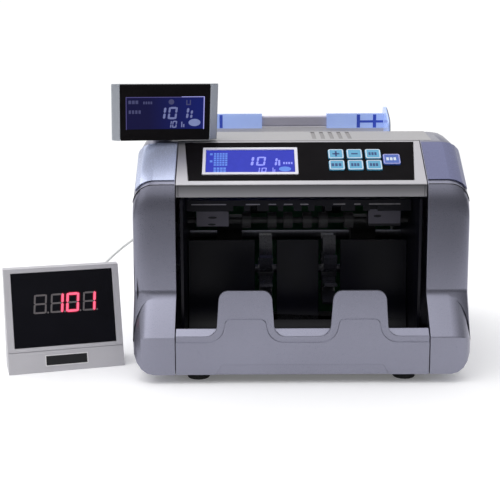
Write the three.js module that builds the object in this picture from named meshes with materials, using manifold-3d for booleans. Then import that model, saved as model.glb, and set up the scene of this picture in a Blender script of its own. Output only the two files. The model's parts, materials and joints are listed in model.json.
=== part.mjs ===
// Banknote counter for a shop counter: moulded housing, tilted control head, hopper with two note guides,
// roller and stacker-wheel drive, swivelling display and a free-standing customer display on a cord.
// Millimetres. X to the machine's right, Y to its back, Z up.

import * as THREE from "three";
import { mergeVertices } from "three/addons/utils/BufferGeometryUtils.js";
import Module from "manifold-3d";

const wasm = await Module();
wasm.setup();

// ---------------------------------------------------------------- driving dimensions
const HALF_WIDTH = 123; // half the overall body width
const SEAM_X = 91.6; // side covers start here
const INNER_X = 91; // half width of everything between the side covers
const GAP = 0.3; // clearance between touching pieces
const FRONT_Y = -125;
const BACK_Y = 125;
const BASE_Z = 6.5;
const WALL = 2.6;
const PATH_HALF = 85.8; // half width between the frame plates
const FOOT = { x: 75.5, frontY: -108, rearY: 102 };

const CREASE_Z = 34; // top of the vertical lower front
const LEDGE = { y: -103, z: 59.5 }; // foot of the columns
const SLOPE_LOW = { y: -98.5, z: 141.2 }; // lower edge of the tilted panel
const SLOPE_TOP = { y: -59.5, z: 169.8 }; // upper edge of the tilted panel
const ROOF_BACK = { y: -20, z: 174.3 };
const OPENING_TOP_Z = 132;
const ROOF_HALF = 101; // half width of the top cover
const ROLL = [[3.7, 121], [3.3, 129.5], [2.2, 135.5]]; // rounded top of the columns: ahead of the crease, height
const FOOT_TOP = 5; // places of points up the front of the body's outline
const CREASE_PLACE = FOOT_TOP + ROLL.length + 1;

const SHOULDER = 16; // radii that round the outer edge of the side covers
const CHEEK = 15;
const COLUMN_EDGE = 5.5;
const SILL = 19;
const REAR_EDGE = 9;

const SLOPE_ANGLE = Math.atan2(SLOPE_TOP.z - SLOPE_LOW.z, SLOPE_TOP.y - SLOPE_LOW.y);
const SLOPE_LENGTH = Math.hypot(SLOPE_TOP.z - SLOPE_LOW.z, SLOPE_TOP.y - SLOPE_LOW.y);

const HEAD_SKIN = 3;
const OVERLAY = { low: 4.3, high: 47, halfLow: 82, halfHigh: 86.2, depth: 0.9 };
const LCD = { left: -72.3, right: -1.7, low: 10.7, high: 40.8, rim: 2.3 };
const KEY = { width: 11.6, height: 10.9, firstX: 26.9, pitchX: 13.8, rows: [32.6, 20.2] };
const START_KEY = { x: 67.9, v: 26.6, width: 12.8, height: 11.6 };

const TAB = { x: 40.8, width: 39.6, top: 67.8, radius: 6.5 };
const RECESS_Z = 34.6;
const RECESS_RADIUS = 8;
const STEP_DROP = 4.3; // the raised border follows the recesses at this distance
const STEP_TOP = 47.2;

const RAIL = { y: 21, depth: 7, low: 177, high: 186, half: 76.5 };
const GUIDE = { inner: 27, outer: 74.5, skin: 1.6, flange: 2, top: 193.3 };

const FEED = { y: -6, z: 90, shaft: 4, roller: 17 };
const PICKUP = { y: 19, z: 117, shaft: 4, roller: 12.5 };
const STACK = { y: -34, z: 67, shaft: 3.5, wheel: 28 };
const EXIT = { y: -41, z: 107, shaft: 2.5, roller: 6.5 };
const MOTOR = { y: 68, z: 44, radius: 19, shaft: 2.5, pulley: 9 };
const DRIVE_X = 97; // inner face of the pulleys outside the frame plates
const PULLEY_WIDTH = 7;
const BELT = 1.5;

const SWIVEL = { x: -104, y: -50, face: [79.2, 43.1], depth: 13, lean: 14, yaw: 11, low: 171.2, ahead: 17.5 };
const REMOTE = { x: -216.7, y: -102.8, yaw: 17, width: 86.5, height: 76, depth: 33, lean: 15 };

const CORD_RADIUS = 1.3;
const GLAND = { side: 20, z: 12, length: 8 };
const COIL = { x: -188, y: -8, mean: 14.3, half: 3.9, turnsHigh: 7.8 };
const PORT = { x: -72, z: 88 };
const KNOB_Y = 48; // thickness adjuster behind the hopper

const PLASTIC = { silver: 0x94929c, light: 0xc4c1c6, black: 0x16161c, trim: 0xa2a6c4 };
const METAL = { steel: 0x9a9ca2, zinc: 0x84878c };

const model = new THREE.Group();
const machine = new THREE.Group();
model.add(machine);

// ---------------------------------------------------------------- solids
function cleaned(geometry) {
  const copy = geometry.clone();
  copy.deleteAttribute("normal");
  copy.deleteAttribute("uv");
  return mergeVertices(copy, 1e-4);
}

function toSolid(geometry) {
  const merged = cleaned(geometry);
  const vertProperties = new Float32Array(merged.attributes.position.array);
  const triVerts = new Uint32Array(merged.index.array);
  return new wasm.Manifold(new wasm.Mesh({ numProp: 3, vertProperties, triVerts }));
}

function toGeometry(solid) {
  const mesh = solid.getMesh();
  const geometry = new THREE.BufferGeometry();
  geometry.setAttribute("position", new THREE.BufferAttribute(mesh.vertProperties.slice(), 3));
  geometry.setIndex(new THREE.BufferAttribute(mesh.triVerts.slice(), 1));
  return geometry;
}

function join(...geometries) {
  return toGeometry(geometries.map(toSolid).reduce((a, b) => a.add(b)));
}

function cut(base, ...tools) {
  return toGeometry(tools.map(toSolid).reduce((a, b) => a.subtract(b), toSolid(base)));
}

function common(a, b) {
  return toGeometry(toSolid(a).intersect(toSolid(b)));
}

// An outline whose corners are [x, y] or [x, y, radius].
function rounded(corners) {
  const shape = new THREE.Shape();
  const count = corners.length;
  corners.forEach(([x, y, radius = 0], i) => {
    const corner = new THREE.Vector2(x, y);
    const before = new THREE.Vector2(...corners[(i + count - 1) % count].slice(0, 2));
    const after = new THREE.Vector2(...corners[(i + 1) % count].slice(0, 2));
    const arrive = corner.clone().sub(before).normalize();
    const leave = after.clone().sub(corner).normalize();
    const turn = Math.acos(THREE.MathUtils.clamp(arrive.dot(leave), -1, 1));
    const reach = radius * Math.tan(turn / 2);
    const start = corner.clone().addScaledVector(arrive, -reach);
    const end = corner.clone().addScaledVector(leave, reach);
    if (i === 0) shape.moveTo(start.x, start.y);
    else shape.lineTo(start.x, start.y);
    if (radius === 0) return;
    const pull = (4 / 3) * Math.tan(turn / 4) * radius;
    const first = start.clone().addScaledVector(arrive, pull);
    const second = end.clone().addScaledVector(leave, -pull);
    shape.bezierCurveTo(first.x, first.y, second.x, second.y, end.x, end.y);
  });
  shape.closePath();
  return shape;
}

function extruded(shape, depth, segments = 5) {
  return new THREE.ExtrudeGeometry(shape, { depth, bevelEnabled: false, curveSegments: segments });
}

// Outline in (Y, Z), extruded along X.
function prismX(shape, x0, x1, segments) {
  const axes = new THREE.Matrix4().makeBasis(
    new THREE.Vector3(0, 1, 0),
    new THREE.Vector3(0, 0, 1),
    new THREE.Vector3(1, 0, 0),
  );
  return extruded(shape, x1 - x0, segments).applyMatrix4(axes.setPosition(x0, 0, 0));
}

// Outline in (X, Z), extruded along Y.
function prismY(shape, y0, y1, segments) {
  const axes = new THREE.Matrix4().makeBasis(
    new THREE.Vector3(1, 0, 0),
    new THREE.Vector3(0, 0, 1),
    new THREE.Vector3(0, -1, 0),
  );
  return extruded(shape, y1 - y0, segments).applyMatrix4(axes.setPosition(0, y1, 0));
}

// Outline in (X, Y), extruded along Z.
function prismZ(shape, z0, z1, segments) {
  return extruded(shape, z1 - z0, segments).translate(0, 0, z0);
}

function box(x0, x1, y0, y1, z0, z1) {
  const geometry = new THREE.BoxGeometry(x1 - x0, y1 - y0, z1 - z0);
  return geometry.translate((x0 + x1) / 2, (y0 + y1) / 2, (z0 + z1) / 2);
}

function rectangle(x0, x1, y0, y1, radius = 0) {
  return rounded([[x0, y0, radius], [x1, y0, radius], [x1, y1, radius], [x0, y1, radius]]);
}

function cylinderX(radius, x0, x1, y, z, sides = 24) {
  const geometry = new THREE.CylinderGeometry(radius, radius, x1 - x0, sides);
  return geometry.rotateZ(-Math.PI / 2).translate((x0 + x1) / 2, y, z);
}

function cylinderY(radius, y0, y1, x, z, sides = 20) {
  const geometry = new THREE.CylinderGeometry(radius, radius, y1 - y0, sides);
  return geometry.translate(0, (y0 + y1) / 2, 0).translate(x, 0, z);
}

function cylinderZ(radius, z0, z1, x, y, sides = 24) {
  const geometry = new THREE.CylinderGeometry(radius, radius, z1 - z0, sides);
  return geometry.rotateX(Math.PI / 2).translate(x, y, (z0 + z1) / 2);
}

function ringX(outer, inner, x0, x1, y, z, sides = 28) {
  const profile = [[inner, 0], [outer, 0], [outer, x1 - x0], [inner, x1 - x0], [inner, 0]];
  const geometry = new THREE.LatheGeometry(profile.map(([r, h]) => new THREE.Vector2(r, h)), sides);
  return geometry.rotateZ(-Math.PI / 2).translate(x0, y, z);
}

function add(name, geometry, color, roughness = 0.5, metalness = 0, parent = machine) {
  const material = new THREE.MeshStandardMaterial({ color, roughness, metalness });
  const mesh = new THREE.Mesh(geometry, material);
  mesh.name = name;
  parent.add(mesh);
  return mesh;
}

// ---------------------------------------------------------------- side covers
// Side outline of the body in (Y, Z): up the front, over the roof, down the back.
function bodyOutline() {
  const v = (y, z) => new THREE.Vector2(y, z);
  const foot = new THREE.QuadraticBezierCurve(
    v(LEDGE.y - 3, LEDGE.z - 2),
    v(LEDGE.y, LEDGE.z),
    v(LEDGE.y + 0.3, LEDGE.z + 5),
  );
  const roof = new THREE.QuadraticBezierCurve(v(ROOF_BACK.y, ROOF_BACK.z), v(58, 174), v(108, 131));
  const heel = new THREE.QuadraticBezierCurve(v(108, 131), v(BACK_Y, 116), v(BACK_Y, 98));
  const climb = [
    v(FRONT_Y, BASE_Z),
    v(FRONT_Y, CREASE_Z),
    ...foot.getPoints(3),
    ...ROLL.map(([ahead, z]) => v(SLOPE_LOW.y - ahead, z)),
    v(SLOPE_LOW.y, SLOPE_LOW.z),
    v(SLOPE_TOP.y, SLOPE_TOP.z),
    ...roof.getPoints(8),
    ...heel.getPoints(5).slice(1),
    v(BACK_Y, BASE_Z),
  ];
  return climb.reverse();
}

// How far the outer edge of the side cover is rounded, by where an edge of the outline looks.
function edgeRadius(middle, normal) {
  if (normal.y < -0.5) return SILL;
  if (normal.x > 0.9) return REAR_EDGE;
  if (normal.x < -0.9) return middle.y > LEDGE.z ? COLUMN_EDGE : CHEEK;
  return SHOULDER;
}

// Each outline point's move that shifts both its edges inward by their own distance.
function insetMoves(points, distance) {
  const count = points.length;
  const edges = points.map((p, i) => {
    const q = points[(i + 1) % count];
    const along = q.clone().sub(p).normalize();
    const normal = new THREE.Vector2(along.y, -along.x);
    return { normal, reach: distance(p.clone().add(q).multiplyScalar(0.5), normal) };
  });
  return points.map((_, i) => {
    const a = edges[(i + count - 1) % count];
    const b = edges[i];
    const cross = a.normal.cross(b.normal);
    if (Math.abs(cross) < 0.25) {
      const mean = a.normal.clone().add(b.normal).normalize();
      return mean.multiplyScalar(-(a.reach + b.reach) / 2);
    }
    const x = (a.reach * b.normal.y - b.reach * a.normal.y) / cross;
    const y = (b.reach * a.normal.x - a.reach * b.normal.x) / cross;
    return new THREE.Vector2(-x, -y);
  });
}

function insetOutline(points, distance) {
  const moves = insetMoves(points, () => distance);
  return points.map((p, i) => p.clone().add(moves[i]));
}

// The crease over a column runs down towards the outer side, and the rolled top below it follows.
function settleRoll(points, moves) {
  const place = (k) => points.length - 1 - k;
  const foot = points[place(FOOT_TOP)].y;
  const rise = points[place(CREASE_PLACE)].y - foot;
  const drop = (SHOULDER - Math.sin(SLOPE_ANGLE) * COLUMN_EDGE) / Math.cos(SLOPE_ANGLE);
  const low = new THREE.Vector2(COLUMN_EDGE, 0);
  const high = new THREE.Vector2(COLUMN_EDGE, -drop);
  for (let k = FOOT_TOP + 1; k <= CREASE_PLACE; k += 1) {
    const part = (points[place(k)].y - foot) / rise;
    moves[place(k)] = low.clone().lerp(high, part);
  }
  return moves;
}

// Skin stretched over rings of equal point count, closed at both ends.
function lofted(rings, outline) {
  const count = outline.length;
  const positions = rings.flatMap(({ x, points }) => points.flatMap((p) => [x, p.x, p.y]));
  const faces = THREE.ShapeUtils.triangulateShape(outline, []);
  const last = (rings.length - 1) * count;
  const index = [];
  faces.forEach(([a, b, c]) => index.push(a, c, b, last + a, last + b, last + c));
  for (let r = 0; r < rings.length - 1; r += 1) {
    for (let i = 0; i < count; i += 1) {
      const j = (i + 1) % count;
      const a = r * count + i;
      const b = r * count + j;
      index.push(a, b, b + count, a, b + count, a + count);
    }
  }
  const geometry = new THREE.BufferGeometry();
  geometry.setAttribute("position", new THREE.Float32BufferAttribute(positions, 3));
  geometry.setIndex(index);
  return geometry;
}

// The right-hand side body between two X positions, its outer edge rounded like a pebble.
function sideBody(inset, fromX, outerX) {
  const outline = insetOutline(bodyOutline(), inset);
  const moves = settleRoll(outline, insetMoves(outline, edgeRadius));
  const rings = [{ x: fromX, points: outline }];
  const steps = 5;
  for (let i = 0; i <= steps; i += 1) {
    const angle = (i / steps) * (Math.PI / 2);
    const drop = 1 - Math.cos(angle);
    const points = outline.map((p, k) => p.clone().addScaledVector(moves[k], drop));
    rings.push({ x: outerX - SHOULDER + SHOULDER * Math.sin(angle), points });
  }
  return lofted(rings, outline);
}

function slopePlaced(geometry) {
  const place = new THREE.Matrix4().makeRotationX(SLOPE_ANGLE);
  return geometry.applyMatrix4(place.setPosition(0, SLOPE_LOW.y, SLOPE_LOW.z));
}

function sideCover() {
  const shell = cut(
    sideBody(0, SEAM_X, HALF_WIDTH),
    sideBody(WALL, SEAM_X - 2, HALF_WIDTH - WALL),
  );
  const roofSeat = prismX(
    rounded([
      [SLOPE_TOP.y + 2.1, SLOPE_TOP.z - 2.9],
      [ROOF_BACK.y + 2, ROOF_BACK.z - 3],
      [ROOF_BACK.y + 2, ROOF_BACK.z + 8],
      [SLOPE_TOP.y + 2.1, SLOPE_TOP.z + 8],
    ]),
    SEAM_X - 3,
    ROOF_HALF + GAP,
  );
  return cut(shell, roofSeat);
}

function mirrored(geometry) {
  const copy = cleaned(geometry);
  copy.scale(-1, 1, 1);
  const index = copy.index.array;
  for (let i = 0; i < index.length; i += 3) [index[i], index[i + 1]] = [index[i + 1], index[i]];
  return copy;
}

function roofHeight(y) {
  const rise = (ROOF_BACK.z - SLOPE_TOP.z) / (ROOF_BACK.y - SLOPE_TOP.y);
  return SLOPE_TOP.z + (y - SLOPE_TOP.y) * rise;
}

function addSideCovers() {
  add("right_side_cover", sideCover(), PLASTIC.silver, 0.38, 0.35);
  const roof = roofHeight(SWIVEL.y);
  const pad = cylinderZ(8, roof - 2.6, roof + 1, SWIVEL.x, SWIVEL.y, 20);
  const spigot = cylinderZ(2.5, roof, roof + 9, SWIVEL.x, SWIVEL.y, 12);
  const left = join(mirrored(sideCover()), pad, spigot);
  add("left_side_cover", left, PLASTIC.silver, 0.38, 0.35);
}

function addShoulderTrims() {
  const band = slopePlaced(
    prismZ(rounded([
      [SEAM_X + 0.5, 4.2],
      [HALF_WIDTH - 14, 4.2, 4],
      [HALF_WIDTH - 6, 3.2, 4],
      [HALF_WIDTH - 2, 1.6],
      [HALF_WIDTH - 1.2, SLOPE_LENGTH - 3.5, 3],
      [HALF_WIDTH - 6, SLOPE_LENGTH - 2.5, 4],
      [SEAM_X + 0.5, SLOPE_LENGTH - 2.5],
    ]), -16, 4),
  );
  const outer = sideBody(-0.9, SEAM_X - 1, HALF_WIDTH + 0.9);
  const inner = sideBody(-GAP, SEAM_X - 2, HALF_WIDTH + GAP);
  const trim = common(cut(outer, inner), band);
  add("right_shoulder_trim", trim, PLASTIC.trim, 0.2);
  add("left_shoulder_trim", mirrored(trim), PLASTIC.trim, 0.2);
}

// ---------------------------------------------------------------- base, front cover and tray
function addBase() {
  const lip = 12;
  const pan = prismY(rounded([
    [-INNER_X, BASE_Z],
    [INNER_X, BASE_Z],
    [INNER_X, BASE_Z + lip],
    [INNER_X - 2.5, BASE_Z + lip],
    [INNER_X - 2.5, BASE_Z + 2.5],
    [-INNER_X + 2.5, BASE_Z + 2.5],
    [-INNER_X + 2.5, BASE_Z + lip],
    [-INNER_X, BASE_Z + lip],
  ]), -117, 118);
  add("base_pan", pan, PLASTIC.black, 0.6);
  const profile = [[0, 0], [7.6, 0], [8.4, 1.2], [7.2, BASE_Z - GAP], [0, BASE_Z - GAP]];
  const turned = profile.map(([r, z]) => new THREE.Vector2(r, z));
  for (const [row, y] of [["front", FOOT.frontY], ["rear", FOOT.rearY]]) {
    for (const [side, x] of [["left", -FOOT.x], ["right", FOOT.x]]) {
      const foot = new THREE.LatheGeometry(turned, 16);
      add(`foot_${row}_${side}`, foot.rotateX(Math.PI / 2).translate(x, y, 0), 0x141414, 0.8);
    }
  }
}

// Half of the front cover's upper edge, from the centre to the right end: recess, tab, recess.
function upperEdge(recess, top, side, radius) {
  const left = TAB.x - TAB.width / 2 - side;
  const right = TAB.x + TAB.width / 2 + side;
  const lean = 1.2;
  return [
    [left - lean, recess, RECESS_RADIUS - side],
    [left + lean, top, radius],
    [right - lean, top, radius],
    [right + lean, recess, RECESS_RADIUS - side],
  ];
}

function frontOutline(end, bottom, recess, top, side, radius) {
  const half = upperEdge(recess, top, side, radius);
  const mirror = half.map(([x, z, r]) => [-x, z, r]);
  const edge = [[end, recess], ...half.reverse(), ...mirror, [-end, recess]];
  return rounded([[-end, bottom], [end, bottom], ...edge]);
}

function addFrontCover() {
  const plate = frontOutline(INNER_X, BASE_Z, RECESS_Z, TAB.top, 0, TAB.radius);
  const panel = prismY(plate, FRONT_Y + 0.9, FRONT_Y + 4);
  const step = prismY(
    frontOutline(INNER_X, BASE_Z, RECESS_Z - STEP_DROP, STEP_TOP, -STEP_DROP, 4),
    FRONT_Y,
    FRONT_Y + 1.5,
  );
  const lip = prismX(rounded([
    [FRONT_Y + 1.4, RECESS_Z - 8],
    [FRONT_Y + 1.4, RECESS_Z],
    [FRONT_Y + 6.2, RECESS_Z + 4.6],
    [FRONT_Y + 7, RECESS_Z + 4.6],
    [FRONT_Y + 7, RECESS_Z - 8],
  ]), -INNER_X, INNER_X);
  const inset = prismY(rounded([
    [-63, BASE_Z - 1],
    [63, BASE_Z - 1],
    [58, BASE_Z + 7.5, 3],
    [-58, BASE_Z + 7.5, 3],
  ]), FRONT_Y - 1, FRONT_Y + 0.8);
  add("front_stacker_cover", cut(join(panel, step, lip), inset), PLASTIC.silver, 0.36, 0.35);
}

function addStackerTray() {
  const path = new THREE.Path();
  path.moveTo(FRONT_Y + 7.6, 27);
  path.lineTo(-74, 17.5);
  path.quadraticCurveTo(-50, 14, -48, 40);
  path.lineTo(-46, 92);
  const upper = path.getPoints(8);
  const lower = upper.map((p, i) => {
    const a = upper[Math.max(i - 1, 0)];
    const b = upper[Math.min(i + 1, upper.length - 1)];
    const along = b.clone().sub(a).normalize();
    return new THREE.Vector2(p.x + along.y * 2, p.y - along.x * 2);
  });
  const half = PATH_HALF;
  const sheet = prismX(new THREE.Shape([...upper, ...lower.reverse()]), -half, half);
  const slots = [-1, 1].map((side) => box(side * 25 - 8.5, side * 25 + 8.5, -72, -40, 29, 100));
  add("stacker_tray", cut(sheet, ...slots), PLASTIC.black, 0.35);
}

// ---------------------------------------------------------------- control head
function addControlHead() {
  const inward = new THREE.Vector2(Math.sin(SLOPE_ANGLE), -Math.cos(SLOPE_ANGLE));
  inward.multiplyScalar(HEAD_SKIN);
  const inner = SLOPE_LOW.z - 1;
  const shell = prismX(rounded([
    [SLOPE_LOW.y, OPENING_TOP_Z],
    [SLOPE_LOW.y, SLOPE_LOW.z],
    [SLOPE_TOP.y, SLOPE_TOP.z],
    [SLOPE_TOP.y + inward.x, SLOPE_TOP.z + inward.y],
    [SLOPE_LOW.y + HEAD_SKIN, inner - HEAD_SKIN + 0.9],
    [SLOPE_LOW.y + HEAD_SKIN, OPENING_TOP_Z + 2.4],
    [SLOPE_LOW.y + 15, OPENING_TOP_Z + 2.4],
    [SLOPE_LOW.y + 15, OPENING_TOP_Z],
  ]), -INNER_X, INNER_X);
  const pocket = slopePlaced(prismZ(overlayOutline(GAP), -OVERLAY.depth - GAP, 3));
  const holes = [lcdHole(-9, 3), ...keyHoles(-9, 3)].map(slopePlaced);
  add("control_head", cut(shell, pocket, ...holes), PLASTIC.light, 0.42, 0.2);
}

function overlayOutline(grow) {
  return rounded([
    [-OVERLAY.halfLow - grow, OVERLAY.low - grow],
    [OVERLAY.halfLow + grow, OVERLAY.low - grow],
    [OVERLAY.halfHigh + grow, OVERLAY.high + grow],
    [-OVERLAY.halfHigh - grow, OVERLAY.high + grow],
  ]);
}

function keyOutline({ x, v, width, height }, grow) {
  const across = width / 2 + grow;
  const along = height / 2 + grow;
  return rectangle(x - across, x + across, v - along, v + along, 1.4);
}

function keyHoles(z0, z1) {
  return keyPlaces().map((place) => prismZ(keyOutline(place, GAP), z0, z1, 2));
}

function lcdHole(z0, z1) {
  return prismZ(rectangle(LCD.left - GAP, LCD.right + GAP, LCD.low - GAP, LCD.high + GAP), z0, z1);
}

function keyPlaces() {
  const names = ["plus", "minus", "mode", "add", "ultraviolet", "magnetic"];
  const places = names.map((name, i) => ({
    name,
    x: KEY.firstX + (i % 3) * KEY.pitchX,
    v: KEY.rows[Math.floor(i / 3)],
    width: KEY.width,
    height: KEY.height,
  }));
  return [...places, { name: "start", ...START_KEY }];
}

function addPanel() {
  const sheet = cut(prismZ(overlayOutline(0), -OVERLAY.depth, -0.1), lcdHole(-2, 2), ...keyHoles(-2, 2));
  add("panel_overlay", slopePlaced(sheet), 0x1a1818, 0.15);

  const screen = (inset, radius = 0) =>
    rectangle(LCD.left + inset, LCD.right - inset, LCD.low + inset, LCD.high - inset, radius);
  const rim = cut(prismZ(screen(0, 0.8), -2.4, 0.5), prismZ(screen(LCD.rim, 0.4), -3, 1));
  add("lcd_frame", slopePlaced(rim), 0xf0eefc, 0.35);
  const glass = prismZ(screen(LCD.rim + GAP), -2.4, -0.2);
  add("lcd_window", slopePlaced(glass), 0x4040d8, 0.1);
  keyPlaces().forEach((place) => {
    const cap = prismZ(keyOutline(place, 0), -4.4, 0.9, 2);
    add(`key_${place.name}`, slopePlaced(cap), place.name === "start" ? 0x4a70cc : 0x6ebadc, 0.4);
  });
}

// ---------------------------------------------------------------- roof and hopper
function addTopCover() {
  const lead = SLOPE_TOP.y + 2.4;
  const lift = 0.9;
  const plate = prismX(rounded([
    [lead, SLOPE_TOP.z - 2.3],
    [lead, SLOPE_TOP.z + lift - 0.4, 0.5],
    [ROOF_BACK.y + 1, ROOF_BACK.z + lift, 1],
    [ROOF_BACK.y + 1, ROOF_BACK.z - 2.6],
  ]), -ROOF_HALF, ROOF_HALF);
  const throat = prismX(rounded([
    [ROOF_BACK.y - 2, ROOF_BACK.z - 1],
    [ROOF_BACK.y + 1, ROOF_BACK.z - 1],
    [-10, 128],
    [-12.6, 127],
  ]), -PATH_HALF, PATH_HALF);
  const grooves = [0, 1, 2, 3, 4].map((i) => {
    const x = 12.3 + i * 6.8;
    const groove = rounded([[-51, roofHeight(-51)], [-22.5, roofHeight(-22.5)], [-22.5, 190], [-51, 190]]);
    return prismX(groove, x - 1.5, x + 1.5);
  });
  const padNotch = cylinderZ(8.4, 150, 190, SWIVEL.x, SWIVEL.y, 20);
  add("top_cover", cut(join(plate, throat), padNotch, ...grooves), PLASTIC.light, 0.45, 0.1);
}

function addHopperTray() {
  const wide = INNER_X - 0.4;
  const plate = prismX(rounded([
    [23.2, RAIL.low - GAP],
    [23.2, 168, 4],
    [7.5, 134.5],
    [9.9, 133.4],
    [25.8, 167.6, 4],
    [25.8, RAIL.low - GAP],
  ]), -wide, wide);
  const cheeks = [-1, 1].map((side) => {
    const outer = side * wide;
    const inner = side * (wide - 2.2);
    return prismX(
      rounded([[-8, 153], [17, 153], [26, 169], [24, 172, 2], [-14, 167.5, 4], [-14, 156, 4]]),
      Math.min(outer, inner),
      Math.max(outer, inner),
    );
  });
  const reliefs = [-1, 1].map((side) => {
    const edges = [side * PATH_HALF, side * (INNER_X + 1)].sort((a, b) => a - b);
    return box(...edges, -30, 40, 120, 151.6);
  });
  // Past the rail's ends the rear wall is no taller than the cheeks.
  const shoulders = [-1, 1].map((side) => {
    const edges = [side * (RAIL.half + 0.5), side * (INNER_X + 1)].sort((a, b) => a - b);
    return box(...edges, 18, 30, 171.2, RAIL.low);
  });
  add("hopper_tray", cut(join(plate, ...cheeks), ...reliefs, ...shoulders), PLASTIC.silver, 0.45, 0.2);
  const section = rectangle(RAIL.y, RAIL.y + RAIL.depth, RAIL.low, RAIL.high, 1.6);
  add("hopper_rail", prismX(section, -RAIL.half, RAIL.half, 3), 0x7d7884, 0.4, 0.3);
}

// The right-hand note guide: a sleeve hooked over the rail and a flange that squares the notes.
function addNoteGuides() {
  const front = RAIL.y - GAP - GUIDE.skin;
  const back = RAIL.y + RAIL.depth + GAP + GUIDE.skin;
  const top = RAIL.high + GAP + GUIDE.skin;
  const low = RAIL.low - 1.2;
  const sleeve = cut(
    prismX(rectangle(front, back, low, top), GUIDE.inner, GUIDE.outer + GUIDE.flange),
    box(0, GUIDE.outer + 10, front + GUIDE.skin, back - GUIDE.skin, low - 5, top - GUIDE.skin),
  );
  const flange = prismX(rounded([
    [front + 1, low],
    [back, low],
    [back, GUIDE.top - 6, 3],
    [back - 4, GUIDE.top, 3],
    [front - 2, GUIDE.top, 5],
    [front - 25, 182, 4],
    [front - 27, 166, 4],
    [front - 17, 152, 3],
    [front - 8, 152, 3],
  ]), GUIDE.outer, GUIDE.outer + GUIDE.flange, 3);
  const passage = box(0, 99, front + GUIDE.skin, back - GUIDE.skin, low - 5, top - GUIDE.skin);
  const guide = join(sleeve, cut(flange, passage));
  add("right_note_guide", guide, 0x8fb0ee, 0.15);
  add("left_note_guide", mirrored(guide), 0x8fb0ee, 0.15);
}

function addRearCover() {
  const skin = insetOutline(bodyOutline(), 1);
  const inside = insetOutline(bodyOutline(), 1 + WALL);
  const isRear = (p) => p.x > 5;
  const outer = skin.filter(isRear);
  const inner = inside.filter(isRear);
  const shell = prismX(new THREE.Shape([...outer, ...inner.reverse()]), -INNER_X, INNER_X);
  const hopper = box(-INNER_X - 1, INNER_X + 1, 0, 26.6, 100, 190);
  const inlet = box(10.4, 68.6, 110, 130, 21.4, 42.6);
  const port = box(PORT.x - 8.3, PORT.x + 8.3, 110, 130, PORT.z - 8.3, PORT.z + 8.3);
  const vents = [0, 1, 2, 3, 4, 5].map((i) => box(-22, 58, 100, 140, 56 + i * 7, 59 + i * 7));
  const knobHole = cylinderZ(4, 130, 190, 0, KNOB_Y, 16);
  add("rear_cover", cut(shell, hopper, inlet, port, knobHole, ...vents), PLASTIC.silver, 0.45, 0.25);
}

// ---------------------------------------------------------------- rear fittings
function addRearFittings() {
  const face = BACK_Y - 1;
  const pin = (x, z) => box(x - 1, x + 1, 107, face, z - 2, z + 2);
  const pins = [pin(47, 30), pin(54, 34.5), pin(61, 30)];
  const block = cut(
    join(box(11, 68, 104, face + 1, 22, 42), box(8.5, 71, face + GAP, face + 2.4, 19.5, 44.5)),
    box(42.5, 65.5, 110, face + 5, 24.5, 39.5),
    box(13.5, 28.5, 112, face + 5, 24.5, 39.9),
  );
  add("power_inlet", join(block, ...pins), 0x181818, 0.45);
  const rocker = prismX(rounded([
    [face - 8, 26.5, 1],
    [face - 0.5, 25.4, 1],
    [face + 0.6, 32, 3],
    [face + 2.9, 37.6, 1],
    [face - 8, 37.5, 1],
  ]), 14, 28);
  add("power_rocker", rocker, 0xb02020, 0.35);

  const socket = cut(
    box(PORT.x - 8, PORT.x + 8, 108, face + 0.4, PORT.z - 8, PORT.z + 8),
    box(PORT.x - 5.2, PORT.x + 5.2, 111, face + 5, PORT.z - 3.6, PORT.z + 3.8),
  );
  add("display_port", socket, 0x202022, 0.4);

  const knob = join(
    cylinderZ(7.5, 168, 175, 0, KNOB_Y, 20),
    cylinderZ(3, 150, 169, 0, KNOB_Y, 16),
  );
  add("thickness_knob", knob, 0x1c1c1e, 0.5);
}

// ---------------------------------------------------------------- frame and drive
function addFramePlates() {
  const outline = rounded([
    [-96, 24],
    [-70, 20],
    [104, 20, 6],
    [104, 112, 10],
    [72, 142, 8],
    [20, 150, 6],
    [-12, 150, 6],
    [-34, 146, 6],
    [-62, 130, 4],
    [-96, 130],
  ]);
  const bores = [FEED, PICKUP, STACK, EXIT].map(({ y, z, shaft }) => [y, z, shaft + 0.4]);
  bores.push([MOTOR.y, MOTOR.z, MOTOR.shaft + 2]);
  const side = (x0, x1) => {
    const plate = prismX(outline, x0, x1);
    const drills = bores.map(([y, z, radius]) => cylinderX(radius, x0 - 1, x1 + 1, y, z, 16));
    return cut(plate, ...drills);
  };
  add("right_frame_plate", side(86.4, 88.4), PLASTIC.black, 0.4, 0.3);
  add("left_frame_plate", side(-88.4, -86.4), PLASTIC.black, 0.4, 0.3);
}

// A turned shaft from [x, radius] steps, ends on the axis.
function turnedShaft(steps, y, z, sides = 20) {
  const first = steps[0][0];
  const last = steps[steps.length - 1][0];
  const points = [[0, first], ...steps.map(([x, r]) => [r, x]), [0, last]];
  const lathe = new THREE.LatheGeometry(points.map(([r, x]) => new THREE.Vector2(r, x)), sides);
  return lathe.rotateZ(-Math.PI / 2).translate(0, y, z);
}

// A plain shaft with collars or pulleys of [from x, to x, radius].
function shaftWith(radius, from, to, collars, y, z, sides) {
  const steps = [[from, radius]];
  collars.forEach(([x0, x1, r]) => steps.push([x0, radius], [x0, r], [x1, r], [x1, radius]));
  steps.push([to, radius]);
  return turnedShaft(steps, y, z, sides);
}

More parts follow.
